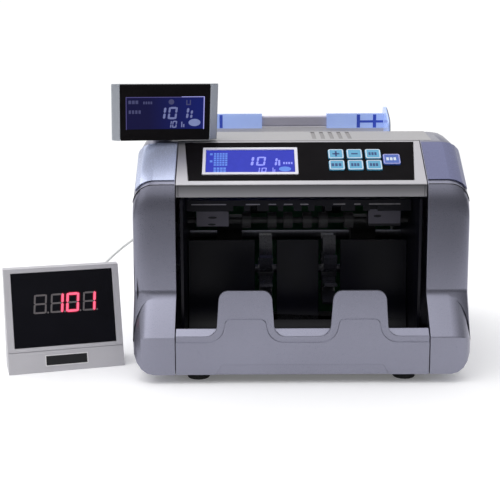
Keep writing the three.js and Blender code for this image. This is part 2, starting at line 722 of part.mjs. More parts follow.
function addShafts() {
  const far = DRIVE_X + PULLEY_WIDTH;
  const lane = DRIVE_X + PULLEY_WIDTH + 1.5;
  add("feed_shaft", shaftWith(FEED.shaft, -far - 9, far + 1, [
    [-lane - 5.5, -lane, 11],
    [-far, -DRIVE_X, 11],
    [DRIVE_X, far, 14],
  ], FEED.y, FEED.z, 18), METAL.steel, 0.3, 0.9);
  add("pickup_shaft", shaftWith(PICKUP.shaft, -far - 1, 94, [
    [-far, -DRIVE_X, 11],
    [-40, -24, PICKUP.roller],
    [24, 40, PICKUP.roller],
  ], PICKUP.y, PICKUP.z, 18), METAL.steel, 0.3, 0.9);
  const stackerPulley = [-lane - 5.5, -lane, 16];
  const stackerShaft = shaftWith(STACK.shaft, -lane - 6.5, 94, [stackerPulley], STACK.y, STACK.z, 20);
  add("stacker_shaft", stackerShaft, METAL.steel, 0.3, 0.9);
  const rollers = [-40, -20, -7.5, 7.5, 20, 40].map((x) => [x - 3.5, x + 3.5, EXIT.roller]);
  add("exit_roller_shaft", shaftWith(EXIT.shaft, -93, 93, rollers, EXIT.y, EXIT.z, 14), 0xd8d8d8, 0.4);
  [["left", -1], ["right", 1]].forEach(([name, side]) => {
    const middle = side * 54;
    const roller = ringX(FEED.roller, FEED.shaft + GAP, middle - 10, middle + 10, FEED.y, FEED.z);
    add(`feed_roller_${name}`, roller, 0x1c1c1c, 0.85);
    add(`stacker_wheel_${name}`, stackerWheel(side * 25), 0x2c2c34, 0.4);
  });
}

// Wheel with curved spring blades that catch each note and lay it on the stack.
function stackerWheel(x) {
  const blades = 8;
  const hub = ringX(9, STACK.shaft + GAP, x - 6, x + 6, 0, 0, 24);
  let wheel = toSolid(hub);
  for (let i = 0; i < blades; i += 1) {
    const blade = new THREE.Shape();
    blade.moveTo(7.4, -1);
    blade.quadraticCurveTo(19, -3, STACK.wheel - 3.5, -15);
    blade.lineTo(STACK.wheel - 1.6, -13.4);
    blade.quadraticCurveTo(20, 0.6, 7.4, 1.6);
    blade.closePath();
    const solid = prismX(blade, x - 5, x + 5, 4).rotateX((i / blades) * Math.PI * 2);
    wheel = wheel.add(toSolid(solid));
  }
  return toGeometry(wheel).translate(0, STACK.y, STACK.z);
}

// Belt round two pulleys with centres a and b.
function beltLoop(a, ra, b, rb, x0, x1) {
  const loop = (extra) => {
    const points = [];
    const angle = Math.atan2(b.z - a.z, b.y - a.y);
    const tilt = Math.acos((ra - rb) / Math.hypot(b.z - a.z, b.y - a.y));
    const sweep = (centre, radius, from, to) => {
      for (let i = 0; i <= 12; i += 1) {
        const t = from + ((to - from) * i) / 12;
        points.push(new THREE.Vector2(centre.y + radius * Math.cos(t), centre.z + radius * Math.sin(t)));
      }
    };
    sweep(b, rb + extra, angle - tilt, angle + tilt);
    sweep(a, ra + extra, angle + tilt, angle - tilt + Math.PI * 2);
    return points;
  };
  const shape = new THREE.Shape(loop(GAP + BELT));
  shape.holes.push(new THREE.Path(loop(GAP)));
  return prismX(shape, x0, x1);
}

function addBelts() {
  const near = DRIVE_X + 1;
  const far = DRIVE_X + PULLEY_WIDTH - 1;
  const lane = DRIVE_X + PULLEY_WIDTH + 2;
  add("drive_belt", beltLoop(FEED, 14, MOTOR, MOTOR.pulley, near, far), 0x202020, 0.9);
  add("pickup_belt", beltLoop(FEED, 11, PICKUP, 11, -far, -near), 0x202020, 0.9);
  add("stacker_belt", beltLoop(FEED, 11, STACK, 16, -lane - 4.5, -lane), 0x202020, 0.9);
}

function addMotor() {
  const can = join(
    cylinderX(MOTOR.radius, 38, 84, MOTOR.y, MOTOR.z, 28),
    cylinderX(8, 34, 39, MOTOR.y, MOTOR.z, 20),
    box(42, 78, MOTOR.y - 15, MOTOR.y + 15, 10, MOTOR.z),
  );
  const bore = cylinderX(MOTOR.shaft + 0.4, 50, 90, MOTOR.y, MOTOR.z, 20);
  add("drive_motor", cut(can, bore), METAL.zinc, 0.4, 0.8);
  const end = DRIVE_X + PULLEY_WIDTH;
  const pulley = shaftWith(MOTOR.shaft, 52, end, [[DRIVE_X, end, MOTOR.pulley]], MOTOR.y, MOTOR.z, 20);
  add("motor_pulley", pulley, METAL.steel, 0.35, 0.9);
}

function addElectrics() {
  add("main_board", box(-85, 85, 40, 41.6, 14, 109), 0x1f5a34, 0.6);
  const core = join(box(-80, -38, 62, 100, 9.6, 44), box(-74, -44, 55, 107, 16, 38));
  add("power_transformer", core, 0x5c5c60, 0.5, 0.6);
}

// ---------------------------------------------------------------- note path above the stacker
function addNotePath() {
  const half = PATH_HALF;
  const guide = prismX(rounded([
    [-64, 117],
    [-61.6, 117],
    [-61.6, 123.4],
    [-26, 126],
    [-26, 128.4],
    [-64, 125.8],
  ]), -half, half);
  const gaps = [
    [-50, -42], [-37, -32], [-23, -16], [-12, -4], [2, 7],
    [12, 20], [25, 32], [43, 49], [54, 60],
  ];
  const notches = gaps.map(([x0, x1]) => box(x0, x1, -70, -60, 110, 121));
  const sensors = [-66, 66].map((x) => box(x - 12.5, x + 12.5, -58, -48, 104.5, 125));
  const eyes = [-66, 60.6].map((x) => cylinderY(1.5, -60, -50, x, 111.8, 16));
  add("upper_note_guide", cut(join(cut(guide, ...notches), ...sensors), ...eyes), PLASTIC.black, 0.3);
}

// ---------------------------------------------------------------- swivelling display
// Turned to its resting yaw about the swivel's vertical axis.
function swivelTurned(geometry) {
  geometry.translate(-SWIVEL.x, -SWIVEL.y, 0);
  geometry.rotateZ(THREE.MathUtils.degToRad(SWIVEL.yaw));
  return geometry.translate(SWIVEL.x, SWIVEL.y, 0);
}

// Local frame of the display head: X across, Y back from its face, Z up its face, which leans forward.
function swivelPlaced(geometry) {
  const place = new THREE.Matrix4().makeRotationX(THREE.MathUtils.degToRad(SWIVEL.lean));
  place.setPosition(SWIVEL.x, SWIVEL.y - SWIVEL.ahead, SWIVEL.low);
  return swivelTurned(geometry.applyMatrix4(place));
}

function addSwivelDisplay() {
  const [width, height] = SWIVEL.face;
  const half = width / 2;
  const side = 6.2;
  const topFall = Math.tan(THREE.MathUtils.degToRad(SWIVEL.lean)); // the head's top lies level
  const body = cut(
    prismZ(rounded([
      [-half, 1.8, 1],
      [-half + side, 0],
      [half - side, 0],
      [half, 1.8, 1],
      [half - 2, SWIVEL.depth, 4],
      [-half + 2, SWIVEL.depth, 4],
    ]), 0, height, 3),
    box(-half + side, half - side, -2, 3, -2, height + 2),
    prismX(rounded([
      [0.8, height],
      [SWIVEL.depth + 2, height - (SWIVEL.depth + 1.2) * topFall],
      [SWIVEL.depth + 2, height + 4],
      [0.8, height + 4],
    ]), -half - 1, half + 1),
  );
  add("swivel_display_housing", swivelPlaced(body), PLASTIC.light, 0.4, 0.2);
  const face = box(-half + side + GAP, half - side - GAP, 0.1, 2.7, 0.1, height - 0.6);
  add("swivel_display_face", swivelPlaced(face), 0x121216, 0.08);

  const roof = roofHeight(SWIVEL.y);
  const neck = join(
    cylinderZ(7.5, roof + 1.3, roof + 3.6, SWIVEL.x, SWIVEL.y, 20),
    box(SWIVEL.x - 5.5, SWIVEL.x + 5.5, SWIVEL.y - 8, SWIVEL.y + 5.5, roof + 3, roof + 12),
  );
  const bore = cylinderZ(2.5 + GAP, roof - 1, roof + 9 + GAP, SWIVEL.x, SWIVEL.y, 12);
  const seat = swivelPlaced(box(-20, 20, -3, SWIVEL.depth + GAP, -GAP, height + 2));
  add("swivel_neck", cut(neck, bore, seat), 0x26262a, 0.5);
}

// ---------------------------------------------------------------- free-standing customer display
const remote = new THREE.Group();
remote.position.set(REMOTE.x, REMOTE.y, 0);
remote.rotation.z = THREE.MathUtils.degToRad(REMOTE.yaw);
machine.add(remote);

// Local frame: X along the front edge, Y back, Z up. Its face leans back.
function addRemoteDisplay() {
  const { width, height, depth, lean } = REMOTE;
  const faceAngle = THREE.MathUtils.degToRad(lean);
  const run = height * Math.tan(faceAngle);
  const onFace = (geometry) => {
    const place = new THREE.Matrix4().makeRotationX(Math.PI / 2 - faceAngle);
    return geometry.applyMatrix4(place);
  };
  const sideOutline = (inset) => rounded([
    [inset, inset],
    [depth - inset, inset],
    [depth - inset, height - inset, 4],
    [run + inset * 0.8, height - inset],
  ]);
  const slant = height / Math.cos(faceAngle);
  const pane = (inset) => rectangle(5 + inset, width - 5 - inset, 19 + inset, slant - 3.2 - inset);
  const shell = cut(
    prismX(sideOutline(0), 0, width),
    prismX(sideOutline(2.2), 2.2, width - 2.2),
    onFace(prismZ(pane(0), -12, 3)),
    onFace(prismZ(rectangle(-1, width + 1, 15.6, 16.3), -0.6, 3)),
  );
  const gland = join(
    cylinderY(4.6, depth - 1, depth + 2, width - GLAND.side, GLAND.z, 16),
    cylinderY(2.9, depth - 1, depth + GLAND.length, width - GLAND.side, GLAND.z, 16),
  );
  add("customer_display_housing", join(shell, gland), 0xaaa8ac, 0.5, 0, remote);
  const window = onFace(prismZ(pane(GAP), -2.4, -0.5));
  add("customer_display_window", window, 0x120e12, 0.08, 0, remote);
  const board = onFace(prismZ(rectangle(10, width - 10, 24, 66), -8.4, -6.8));
  const digits = onFace(prismZ(rectangle(20, 66, 34, 56), -7, -2.8));
  add("led_display_board", join(board, digits), 0x1f5a34, 0.6, 0, remote);
}

// ---------------------------------------------------------------- cord
function cordTube(route) {
  const points = route.map(([x, y, z]) => new THREE.Vector3(x, y, z));
  const curve = new THREE.CatmullRomCurve3(points, false, "centripetal");
  const section = new THREE.Shape();
  for (let i = 0; i < 8; i += 1) {
    const angle = (i / 8) * Math.PI * 2;
    const x = CORD_RADIUS * Math.cos(angle);
    const y = CORD_RADIUS * Math.sin(angle);
    if (i === 0) section.moveTo(x, y);
    else section.lineTo(x, y);
  }
  section.closePath();
  const steps = Math.round(curve.getLength() / (CORD_RADIUS * 5));
  return new THREE.ExtrudeGeometry(section, { steps, bevelEnabled: false, extrudePath: curve });
}

const DISPLAY_LEAD = [
  [-165.2, -43.8, 12],
  [-166.7, -39.0, 11.6],
  [-168.6, -34.4, 9.6],
  [-170.8, -30.4, 6.4],
  [-172.6, -26.4, 3.4],
  [-173.5, -21.6, 2.0],
];
const MACHINE_LEAD = [
  [-173.6, 5.8, 6.5],
  [-174.0, 16.0, 4.2],
  [-175.8, 28.0, 1.8],
  [-179.2, 42.0, 1.5],
  [-183.6, 58.0, 3.4],
  [-187.4, 76.0, 8.6],
  [-189.2, 95.0, 17.2],
  [-187.0, 114.0, 28.2],
  [-179.8, 130.6, 39.0],
  [-168.2, 142.8, 49.6],
  [-153.0, 151.0, 60.8],
  [-135.0, 156.4, 71.6],
  [-115.0, 159.2, 80.4],
  [-96.0, 159.2, 86.0],
  [-81.6, 156.0, 88.0],
  [-74.2, 150.4, 88.2],
  [-72.0, 143.4, 88.0],
];

function addCord() {
  add("cord_display_lead", cordTube(DISPLAY_LEAD), 0xe4e4e2, 0.6);
  add("cord_machine_lead", cordTube(MACHINE_LEAD), 0xe4e4e2, 0.6);
  const profile = [
    [COIL.mean - COIL.half, 0],
    [COIL.mean + COIL.half, 0],
    [COIL.mean + COIL.half, COIL.turnsHigh],
    [COIL.mean - COIL.half, COIL.turnsHigh],
    [COIL.mean - COIL.half, 0],
  ];
  const ring = new THREE.LatheGeometry(profile.map(([r, z]) => new THREE.Vector2(r, z)), 32);
  add("cord_coil", ring.rotateX(Math.PI / 2).translate(COIL.x, COIL.y, 0), 0xe4e4e2, 0.6);
  const plug = join(
    box(PORT.x - 4.8, PORT.x + 4.8, 113, 129, PORT.z - 3.2, PORT.z + 3.2),
    cylinderY(2.6, 128, 134, PORT.x, PORT.z, 16),
    cylinderY(2.1, 133, 143, PORT.x, PORT.z, 16),
  );
  add("cord_plug", plug, 0xdcdcda, 0.4);
}

// ---------------------------------------------------------------- assembly
addBase();
addSideCovers();
addShoulderTrims();
addFrontCover();
addStackerTray();
addControlHead();
addPanel();
addTopCover();
addHopperTray();
addNoteGuides();
addRearCover();
addRearFittings();
addFramePlates();
addShafts();
addBelts();
addMotor();
addElectrics();
addNotePath();
addSwivelDisplay();
addRemoteDisplay();
addCord();

// The origin is on the floor, below the middle of everything but the cord.
function centreOnFloor() {
  model.updateMatrixWorld(true);
  const bounds = new THREE.Box3();
  machine.traverse((part) => {
    if (part.isMesh && !part.name.startsWith("cord_")) bounds.expandByObject(part, true);
  });
  const middle = bounds.getCenter(new THREE.Vector3());
  machine.position.set(-middle.x, -middle.y, 0);
}

centreOnFloor();

export default model;
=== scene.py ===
"""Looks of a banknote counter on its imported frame. Metres; X to the machine's right, Y back, Z up."""

import json
import math

import bmesh
import bpy
from mathutils import Matrix, Vector

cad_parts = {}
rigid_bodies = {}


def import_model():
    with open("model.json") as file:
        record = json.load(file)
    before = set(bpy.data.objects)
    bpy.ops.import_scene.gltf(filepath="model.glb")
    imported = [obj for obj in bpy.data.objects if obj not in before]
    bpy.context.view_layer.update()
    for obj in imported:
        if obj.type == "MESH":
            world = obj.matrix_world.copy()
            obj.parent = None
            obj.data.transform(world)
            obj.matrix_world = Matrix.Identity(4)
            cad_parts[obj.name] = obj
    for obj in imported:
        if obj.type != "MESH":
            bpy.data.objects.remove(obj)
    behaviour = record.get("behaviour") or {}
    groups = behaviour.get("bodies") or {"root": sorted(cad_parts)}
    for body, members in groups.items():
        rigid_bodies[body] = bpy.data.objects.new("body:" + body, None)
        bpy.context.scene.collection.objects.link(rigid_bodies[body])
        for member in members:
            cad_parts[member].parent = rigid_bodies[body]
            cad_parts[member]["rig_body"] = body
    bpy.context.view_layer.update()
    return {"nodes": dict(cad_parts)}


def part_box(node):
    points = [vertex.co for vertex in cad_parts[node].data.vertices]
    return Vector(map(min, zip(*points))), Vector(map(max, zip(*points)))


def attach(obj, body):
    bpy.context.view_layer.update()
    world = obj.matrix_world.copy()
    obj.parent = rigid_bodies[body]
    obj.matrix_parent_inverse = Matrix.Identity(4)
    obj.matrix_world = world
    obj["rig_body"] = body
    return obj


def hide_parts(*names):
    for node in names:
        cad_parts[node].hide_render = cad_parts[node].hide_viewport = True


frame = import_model()
NODES = frame["nodes"]
MM = 0.001
ROOT = "machine"

PAN_LOW, PAN_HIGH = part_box("base_pan")
ORIGIN = Vector(((PAN_LOW.x + PAN_HIGH.x) / 2, (PAN_LOW.y + PAN_HIGH.y) / 2 - 0.5 * MM, 0))


def at(x, y, z):
    """A point of the machine's own millimetres in the frame's metres."""
    return ORIGIN + Vector((x, y, z)) * MM


# ---------------------------------------------------------------- planes that carry printed marks
class Plane:
    """A flat face: u across it, v up it, n out of it, in millimetres from its origin."""

    def __init__(self, origin, across, up):
        self.origin = origin
        self.u = Vector(across).normalized()
        self.v = Vector(up).normalized()
        self.n = self.u.cross(self.v)

    def at(self, u, v, h=0.0):
        return self.origin + (self.u * u + self.v * v + self.n * h) * MM


def tilted(low, high):
    """A face that rises from one (y, z) place to another."""
    return Plane(at(0, *low), (1, 0, 0), (0, high[0] - low[0], high[1] - low[1]))


def facing(origin, sign):
    """An upright face that looks forward (1) or back (-1)."""
    return Plane(origin, (sign, 0, 0), (0, 0, 1))


LIP = (-98.5, 141.2)  # (y, z) of the head's front edge
ROOF_FRONT = (-59.5, 169.8)
ROOF_BACK = (-20, 174.3)
SLOPE = tilted(LIP, ROOF_FRONT)
ROOF_PLANE = tilted(ROOF_FRONT, ROOF_BACK)

SWIVEL_AXIS = (-104, -50)
SWIVEL_AHEAD = 17.5  # the display's face stands this far in front of its axis
SWIVEL_LOW = 171.2
SWIVEL_YAW = Matrix.Rotation(math.radians(11), 3, "Z")
SWIVEL_LEAN = math.radians(14)
SWIVEL_FOOT = SWIVEL_YAW @ Vector((0, -SWIVEL_AHEAD, 0))
SWIVEL = Plane(
    at(SWIVEL_AXIS[0] + SWIVEL_FOOT.x, SWIVEL_AXIS[1] + SWIVEL_FOOT.y, SWIVEL_LOW),
    SWIVEL_YAW @ Vector((1, 0, 0)),
    SWIVEL_YAW @ Vector((0, -math.sin(SWIVEL_LEAN), math.cos(SWIVEL_LEAN))),
)

HEAD_FRONT = facing(at(0, LIP[0], 0), 1)
GUIDE_FRONT = facing(at(0, -64, 0), 1)
SLEEVE_FRONT = facing(at(0, 19.1, 0), 1)

REMOTE_CORNER = (-216.7, -102.8, 0)
REMOTE_DEPTH = 33
REMOTE_YAW = Matrix.Rotation(math.radians(17), 3, "Z")
REMOTE_LEAN = math.radians(15)
REMOTE = Plane(
    at(*REMOTE_CORNER),
    REMOTE_YAW @ Vector((1, 0, 0)),
    REMOTE_YAW @ Vector((0, math.sin(REMOTE_LEAN), math.cos(REMOTE_LEAN))),
)
REMOTE_BACK = Plane(REMOTE.origin + REMOTE_YAW @ Vector((0, REMOTE_DEPTH, 0)) * MM, -REMOTE.u, (0, 0, 1))

REAR = facing(at(0, 124, 0), -1)
REAR_INLET = facing(at(0, 126.4, 0), -1)
ROCKER_LOW = Plane(at(21, 123.5, 25.4), (-1, 0, 0), (0, 1.1, 6.6))
ROCKER_HIGH = Plane(at(21, 124.6, 32), (-1, 0, 0), (0, 2.3, 5.6))


# ---------------------------------------------------------------- materials
def shader(name):
    """A new material's node tree and its Principled shader."""
    made = bpy.data.materials.new(name)
    made.use_nodes = True
    tree = made.node_tree
    tree.nodes.clear()
    out = tree.nodes.new("ShaderNodeOutputMaterial")
    bsdf = tree.nodes.new("ShaderNodeBsdfPrincipled")
    tree.links.new(bsdf.outputs[0], out.inputs[0])
    return made, tree, bsdf


def along(tree, axis):
    """The place on the piece along X, Y or Z."""
    coords = tree.nodes.new("ShaderNodeTexCoord")
    split = tree.nodes.new("ShaderNodeSeparateXYZ")
    tree.links.new(coords.outputs["Object"], split.inputs[0])
    return split.outputs[axis]


def noise(tree, scale, detail=2.0, stretch=(1, 1, 1)):
    """Noise that stays with the piece."""
    coords = tree.nodes.new("ShaderNodeTexCoord")
    mapping = tree.nodes.new("ShaderNodeMapping")
    mapping.inputs["Scale"].default_value = stretch
    texture = tree.nodes.new("ShaderNodeTexNoise")
    texture.inputs["Scale"].default_value = scale
    texture.inputs["Detail"].default_value = detail
    tree.links.new(coords.outputs["Object"], mapping.inputs["Vector"])
    tree.links.new(mapping.outputs["Vector"], texture.inputs["Vector"])
    return texture.outputs["Fac"]


def spread(tree, value, low, high):
    """Stretches the middle of a noise over a range."""
    node = tree.nodes.new("ShaderNodeMapRange")
    node.inputs["From Min"].default_value = 0.3
    node.inputs["From Max"].default_value = 0.7
    node.inputs["To Min"].default_value = low
    node.inputs["To Max"].default_value = high
    tree.links.new(value, node.inputs["Value"])
    return node.outputs["Result"]


def mixed(tree, factor, first, second):
    """A colour between two."""
    node = tree.nodes.new("ShaderNodeMix")
    node.data_type = "RGBA"
    tree.links.new(factor, node.inputs["Factor"])
    node.inputs["A"].default_value = (*first, 1)
    node.inputs["B"].default_value = (*second, 1)
    return node.outputs["Result"]


def finish_of(name, colour, roughness, metallic=0.0, coat=0.0, mottle=0.05, mottle_scale=30,
              grain=0.1, grain_scale=1500, flake=0.0, alpha=1.0, stretch=(1, 1, 1), specular=0.5, emit=0.0):
    """Moulded or painted surface: slow colour drift, fine grain in bump and roughness, metal flake."""
    made, tree, bsdf = shader(name)
    drift = noise(tree, mottle_scale, 3.0, stretch)
    dark = [c * (1 - mottle) for c in colour]
    light = [min(1.0, c * (1 + mottle)) for c in colour]
    tone = mixed(tree, spread(tree, drift, 0, 1), dark, light)
    fine = noise(tree, grain_scale, 2.0, stretch)
    if flake:
        sparkle = tree.nodes.new("ShaderNodeMix")
        sparkle.data_type = "RGBA"
        sparkle.blend_type = "OVERLAY"
        sparkle.inputs["Factor"].default_value = flake
        tree.links.new(tone, sparkle.inputs["A"])
        tree.links.new(noise(tree, 5200, 1.0), sparkle.inputs["B"])
        tone = sparkle.outputs["Result"]
    tree.links.new(tone, bsdf.inputs["Base Color"])
    uneven = spread(tree, fine, roughness * 0.88, min(1.0, roughness * 1.12))
    tree.links.new(uneven, bsdf.inputs["Roughness"])
    bump = tree.nodes.new("ShaderNodeBump")
    bump.inputs["Strength"].default_value = grain
    bump.inputs["Distance"].default_value = 0.00004
    tree.links.new(fine, bump.inputs["Height"])
    tree.links.new(bump.outputs["Normal"], bsdf.inputs["Normal"])
    bsdf.inputs["Metallic"].default_value = metallic
    bsdf.inputs["Specular IOR Level"].default_value = specular
    bsdf.inputs["Emission Color"].default_value = (*colour, 1)
    bsdf.inputs["Emission Strength"].default_value = emit
    bsdf.inputs["Coat Weight"].default_value = coat
    bsdf.inputs["Coat Roughness"].default_value = 0.12
    bsdf.inputs["Alpha"].default_value = alpha
    return made


SHADE_LOW, SHADE_HIGH, SHADE_END = 133.0, 140.0, 140.2  # the strip under the head's lip, by height
SHADE_DEPTH = 0.72


def shaded_by_height(made):
    """Darkens the strip under the head's lip, which the lip keeps out of the light."""
    tree = made.node_tree
    bsdf = next(n for n in tree.nodes if n.type == "BSDF_PRINCIPLED")
    tone = bsdf.inputs["Base Color"].links[0].from_socket
    z = along(tree, "Z")
    height = tree.nodes.new("ShaderNodeMapRange")
    height.inputs["From Min"].default_value = at(0, 0, SHADE_LOW).z
    height.inputs["From Max"].default_value = at(0, 0, SHADE_HIGH).z
    height.inputs["To Max"].default_value = SHADE_DEPTH
    tree.links.new(z, height.inputs["Value"])
    below = tree.nodes.new("ShaderNodeMath")
    below.operation = "LESS_THAN"
    below.inputs[1].default_value = at(0, 0, SHADE_END).z
    tree.links.new(z, below.inputs[0])
    amount = tree.nodes.new("ShaderNodeMath")
    amount.operation = "MULTIPLY"
    tree.links.new(height.outputs["Result"], amount.inputs[0])
    tree.links.new(below.outputs[0], amount.inputs[1])
    shade = tree.nodes.new("ShaderNodeMix")
    shade.data_type = "RGBA"
    tree.links.new(amount.outputs[0], shade.inputs["Factor"])
    tree.links.new(tone, shade.inputs["A"])
    shade.inputs["B"].default_value = (0.10, 0.10, 0.115, 1)
    tree.links.new(shade.outputs["Result"], bsdf.inputs["Base Color"])
    return made


def light_up(tree, bsdf, glow, strength, base):
    """Makes a shader glow, with a dull surface of its own."""
    tree.links.new(glow, bsdf.inputs["Emission Color"])
    bsdf.inputs["Emission Strength"].default_value = strength
    bsdf.inputs["Base Color"].default_value = (*base, 1)
    bsdf.inputs["Roughness"].default_value = 0.4
    bsdf.inputs["Specular IOR Level"].default_value = 0.05


def glowing(name, colour, strength, base=(0.02, 0.02, 0.02)):
    """A lit segment: even glow with a faint unevenness of its dye."""
    made, tree, bsdf = shader(name)
    drift = spread(tree, noise(tree, 220, 2.0), 0, 1)
    dim = [c * 0.92 for c in colour]
    light_up(tree, bsdf, mixed(tree, drift, dim, colour), strength, base)
    return made


def graded_glow(name, left, right, x_left, x_right):
    """A screen whose glow passes from one colour to another across it."""
    made, tree, bsdf = shader(name)
    across = tree.nodes.new("ShaderNodeMapRange")
    across.inputs["From Min"].default_value = x_left
    across.inputs["From Max"].default_value = x_right
    tree.links.new(along(tree, "X"), across.inputs["Value"])
    light_up(tree, bsdf, mixed(tree, across.outputs["Result"], left, right), 1.0, (0.002, 0.002, 0.01))
    return made


SILVER = finish_of(
    "silver_lacquer", (0.265, 0.267, 0.335), roughness=0.30, metallic=0.76, mottle=0.04,
    mottle_scale=14, grain=0.22, grain_scale=2600, flake=0.08,
)
HEAD = shaded_by_height(finish_of(
    "head_plastic", (0.50, 0.49, 0.515), roughness=0.34, metallic=0.68, mottle=0.03,
    mottle_scale=18, grain=0.3, grain_scale=2200, flake=0.05,
))
SWIVEL_SHELL = finish_of(
    "display_shell", (0.40, 0.425, 0.465), roughness=0.4, metallic=0.5, mottle=0.03, mottle_scale=18,
    grain=0.3, grain_scale=2200,
)
ROOF = finish_of(
    "roof_plastic", (0.41, 0.402, 0.41), roughness=0.5, metallic=0.05, mottle=0.03, mottle_scale=18,
    grain=0.35, grain_scale=2200,
)
# The tray's emission is painted light that brightens its walls where they lie in shade; the tray gives no
# light.
TRAY_PAINTED_GLOW = finish_of(
    "tray_plastic_painted_glow", (0.55, 0.54, 0.56), roughness=0.45, metallic=0.1, mottle=0.03, mottle_scale=18,
    grain=0.3, grain_scale=2200, emit=0.3,
)
GUIDE_EDGE = finish_of(
    "guide_edge", (0.055, 0.055, 0.10), roughness=0.3, coat=0.2, mottle_scale=60, grain=0.05,
    grain_scale=2000,
)
# Lit and shaded copies of one lavender plastic: the left inlay's lighter colour is painted light, the right
# inlay's darker colour is painted shade.
TRIM_PAINTED_LIT, TRIM_PAINTED_SHADE = (
    finish_of(
        name, colour, roughness=0.26, metallic=0.35, coat=0.15,
        mottle=0.04, mottle_scale=22, grain=0.05, grain_scale=2600, flake=0.06,
    )
    for name, colour in (
        ("lavender_inlay_painted_lit", (0.62, 0.68, 0.90)),
        ("lavender_inlay_painted_shade", (0.155, 0.165, 0.30)),
    )
)
BLACK = finish_of(
    "black_plastic", (0.012, 0.012, 0.016), roughness=0.42, mottle=0.2, mottle_scale=40, grain=0.3,
    grain_scale=1800,
)
INNER = finish_of(
    "dark_inner_plastic", (0.004, 0.004, 0.009), roughness=0.35, mottle=0.2, mottle_scale=40, grain=0.2,
    grain_scale=1800, specular=0.25,
)
OVERLAY = finish_of(
    "overlay_sheet", (0.008, 0.007, 0.008), roughness=0.25, mottle=0.15, mottle_scale=60, grain=0.04,
    grain_scale=2500, specular=0.02,
)
SCREEN_RIM = finish_of(
    "screen_frame", (0.86, 0.85, 0.93), roughness=0.35, mottle=0.02, mottle_scale=40, grain_scale=2000,
)
KEY_LIGHT = finish_of(
    "key_light_blue", (0.10, 0.42, 0.66), roughness=0.34, coat=0.2, mottle_scale=90, grain=0.15,
    grain_scale=2500,
)
KEY_DARK = finish_of(
    "key_dark_blue", (0.055, 0.13, 0.52), roughness=0.34, coat=0.2, mottle_scale=90, grain=0.15,
    grain_scale=2500,
)
KEY_RIM = finish_of(
    "key_border", (0.72, 0.82, 0.92), roughness=0.4, mottle=0.03, mottle_scale=90, grain_scale=2500,
)
KEY_START_RIM = finish_of(
    "start_key_border", (0.42, 0.42, 0.78), roughness=0.4, mottle=0.03, mottle_scale=90,
    grain_scale=2500,
)
KEY_INK = finish_of(
    "key_ink", (0.01, 0.05, 0.20), roughness=0.4, mottle_scale=90, grain=0.05, grain_scale=2500,
)
# The guides and their ribs carry a faint emission: painted light in place of light that passes through the
# acrylic.
GUIDE = finish_of(
    "guide_acrylic", (0.48, 0.62, 1.0), roughness=0.12, coat=0.5, mottle_scale=60, grain=0.03,
    grain_scale=2000, alpha=0.86, emit=0.26,
)
RIB = finish_of(
    "guide_rib", (0.06, 0.11, 0.62), roughness=0.25, coat=0.3, mottle=0.06, mottle_scale=60, grain=0.05,
    grain_scale=2000, emit=0.1,
)
RAIL = finish_of(
    "rail_plastic", (0.60, 0.58, 0.68), roughness=0.4, metallic=0.1, mottle=0.04, mottle_scale=40,
    grain=0.3, grain_scale=2200,
)
STEEL = finish_of(
    "turned_steel", (0.55, 0.55, 0.57), roughness=0.25, metallic=1.0, mottle=0.06, mottle_scale=60,
    grain=0.2, grain_scale=900, stretch=(12, 1, 1),
)
ZINC = finish_of(
    "zinc_plate", (0.42, 0.43, 0.46), roughness=0.38, metallic=0.9, mottle=0.12, mottle_scale=50,
    grain=0.2, grain_scale=1200,
)
IRON = finish_of(
    "laminated_core", (0.10, 0.10, 0.105), roughness=0.5, metallic=0.7, mottle=0.15, mottle_scale=60,
    grain=0.5, grain_scale=500, stretch=(1, 1, 9),
)
RUBBER = finish_of(
    "black_rubber", (0.012, 0.012, 0.012), roughness=0.75, mottle=0.2, mottle_scale=80, grain=0.6,
    grain_scale=1400,
)
BOARD = finish_of(
    "circuit_board", (0.012, 0.10, 0.035), roughness=0.35, coat=0.2, mottle=0.2, mottle_scale=130,
    grain=0.15, grain_scale=1600,
)
RED = finish_of(
    "red_rocker", (0.42, 0.012, 0.012), roughness=0.25, coat=0.3, mottle_scale=80, grain_scale=2000,
)
DARK_ROLLER = finish_of(
    "grey_roller", (0.035, 0.035, 0.038), roughness=0.5, mottle=0.1, mottle_scale=60, grain=0.15,
    grain_scale=2000, specular=0.3,
)
GROOVE = finish_of(
    "groove_shade", (0.28, 0.27, 0.275), roughness=0.6, mottle=0.04, grain=0.3, grain_scale=2200,
)
DARK_STEEL = finish_of(
    "blued_steel", (0.10, 0.10, 0.115), roughness=0.4, metallic=0.9, mottle=0.1, mottle_scale=60,
    grain=0.2, grain_scale=900, stretch=(12, 1, 1),
)
WHEEL = finish_of(
    "wheel_polymer", (0.03, 0.03, 0.04), roughness=0.28, coat=0.2, mottle=0.15, mottle_scale=60,
    grain=0.15, grain_scale=2000,
)
CORD = finish_of(
    "cord_pvc", (0.78, 0.79, 0.77), roughness=0.5, mottle=0.04, mottle_scale=80, grain=0.15,
    grain_scale=1800,
)
DISPLAY = finish_of(
    "display_plastic", (0.54, 0.53, 0.56), roughness=0.5, mottle=0.04, mottle_scale=26, grain=0.6,
    grain_scale=2400,
)
SMOKE = finish_of(
    "smoked_window", (0.006, 0.006, 0.009), roughness=0.15, mottle=0.1, mottle_scale=50, grain=0.02,
    grain_scale=2000, specular=0.15,
)
PLATE = finish_of(
    "label_plate", (0.012, 0.012, 0.014), roughness=0.35, mottle=0.1, mottle_scale=80, grain_scale=2000,
)
PLATE_EDGE = finish_of(
    "label_edge", (0.75, 0.74, 0.75), roughness=0.4, mottle=0.03, mottle_scale=80, grain_scale=2000,
)
SENSOR = finish_of(
    "sensor_face", (0.075, 0.07, 0.10), roughness=0.35, mottle=0.1, mottle_scale=80, grain=0.2,
    grain_scale=2000,
)
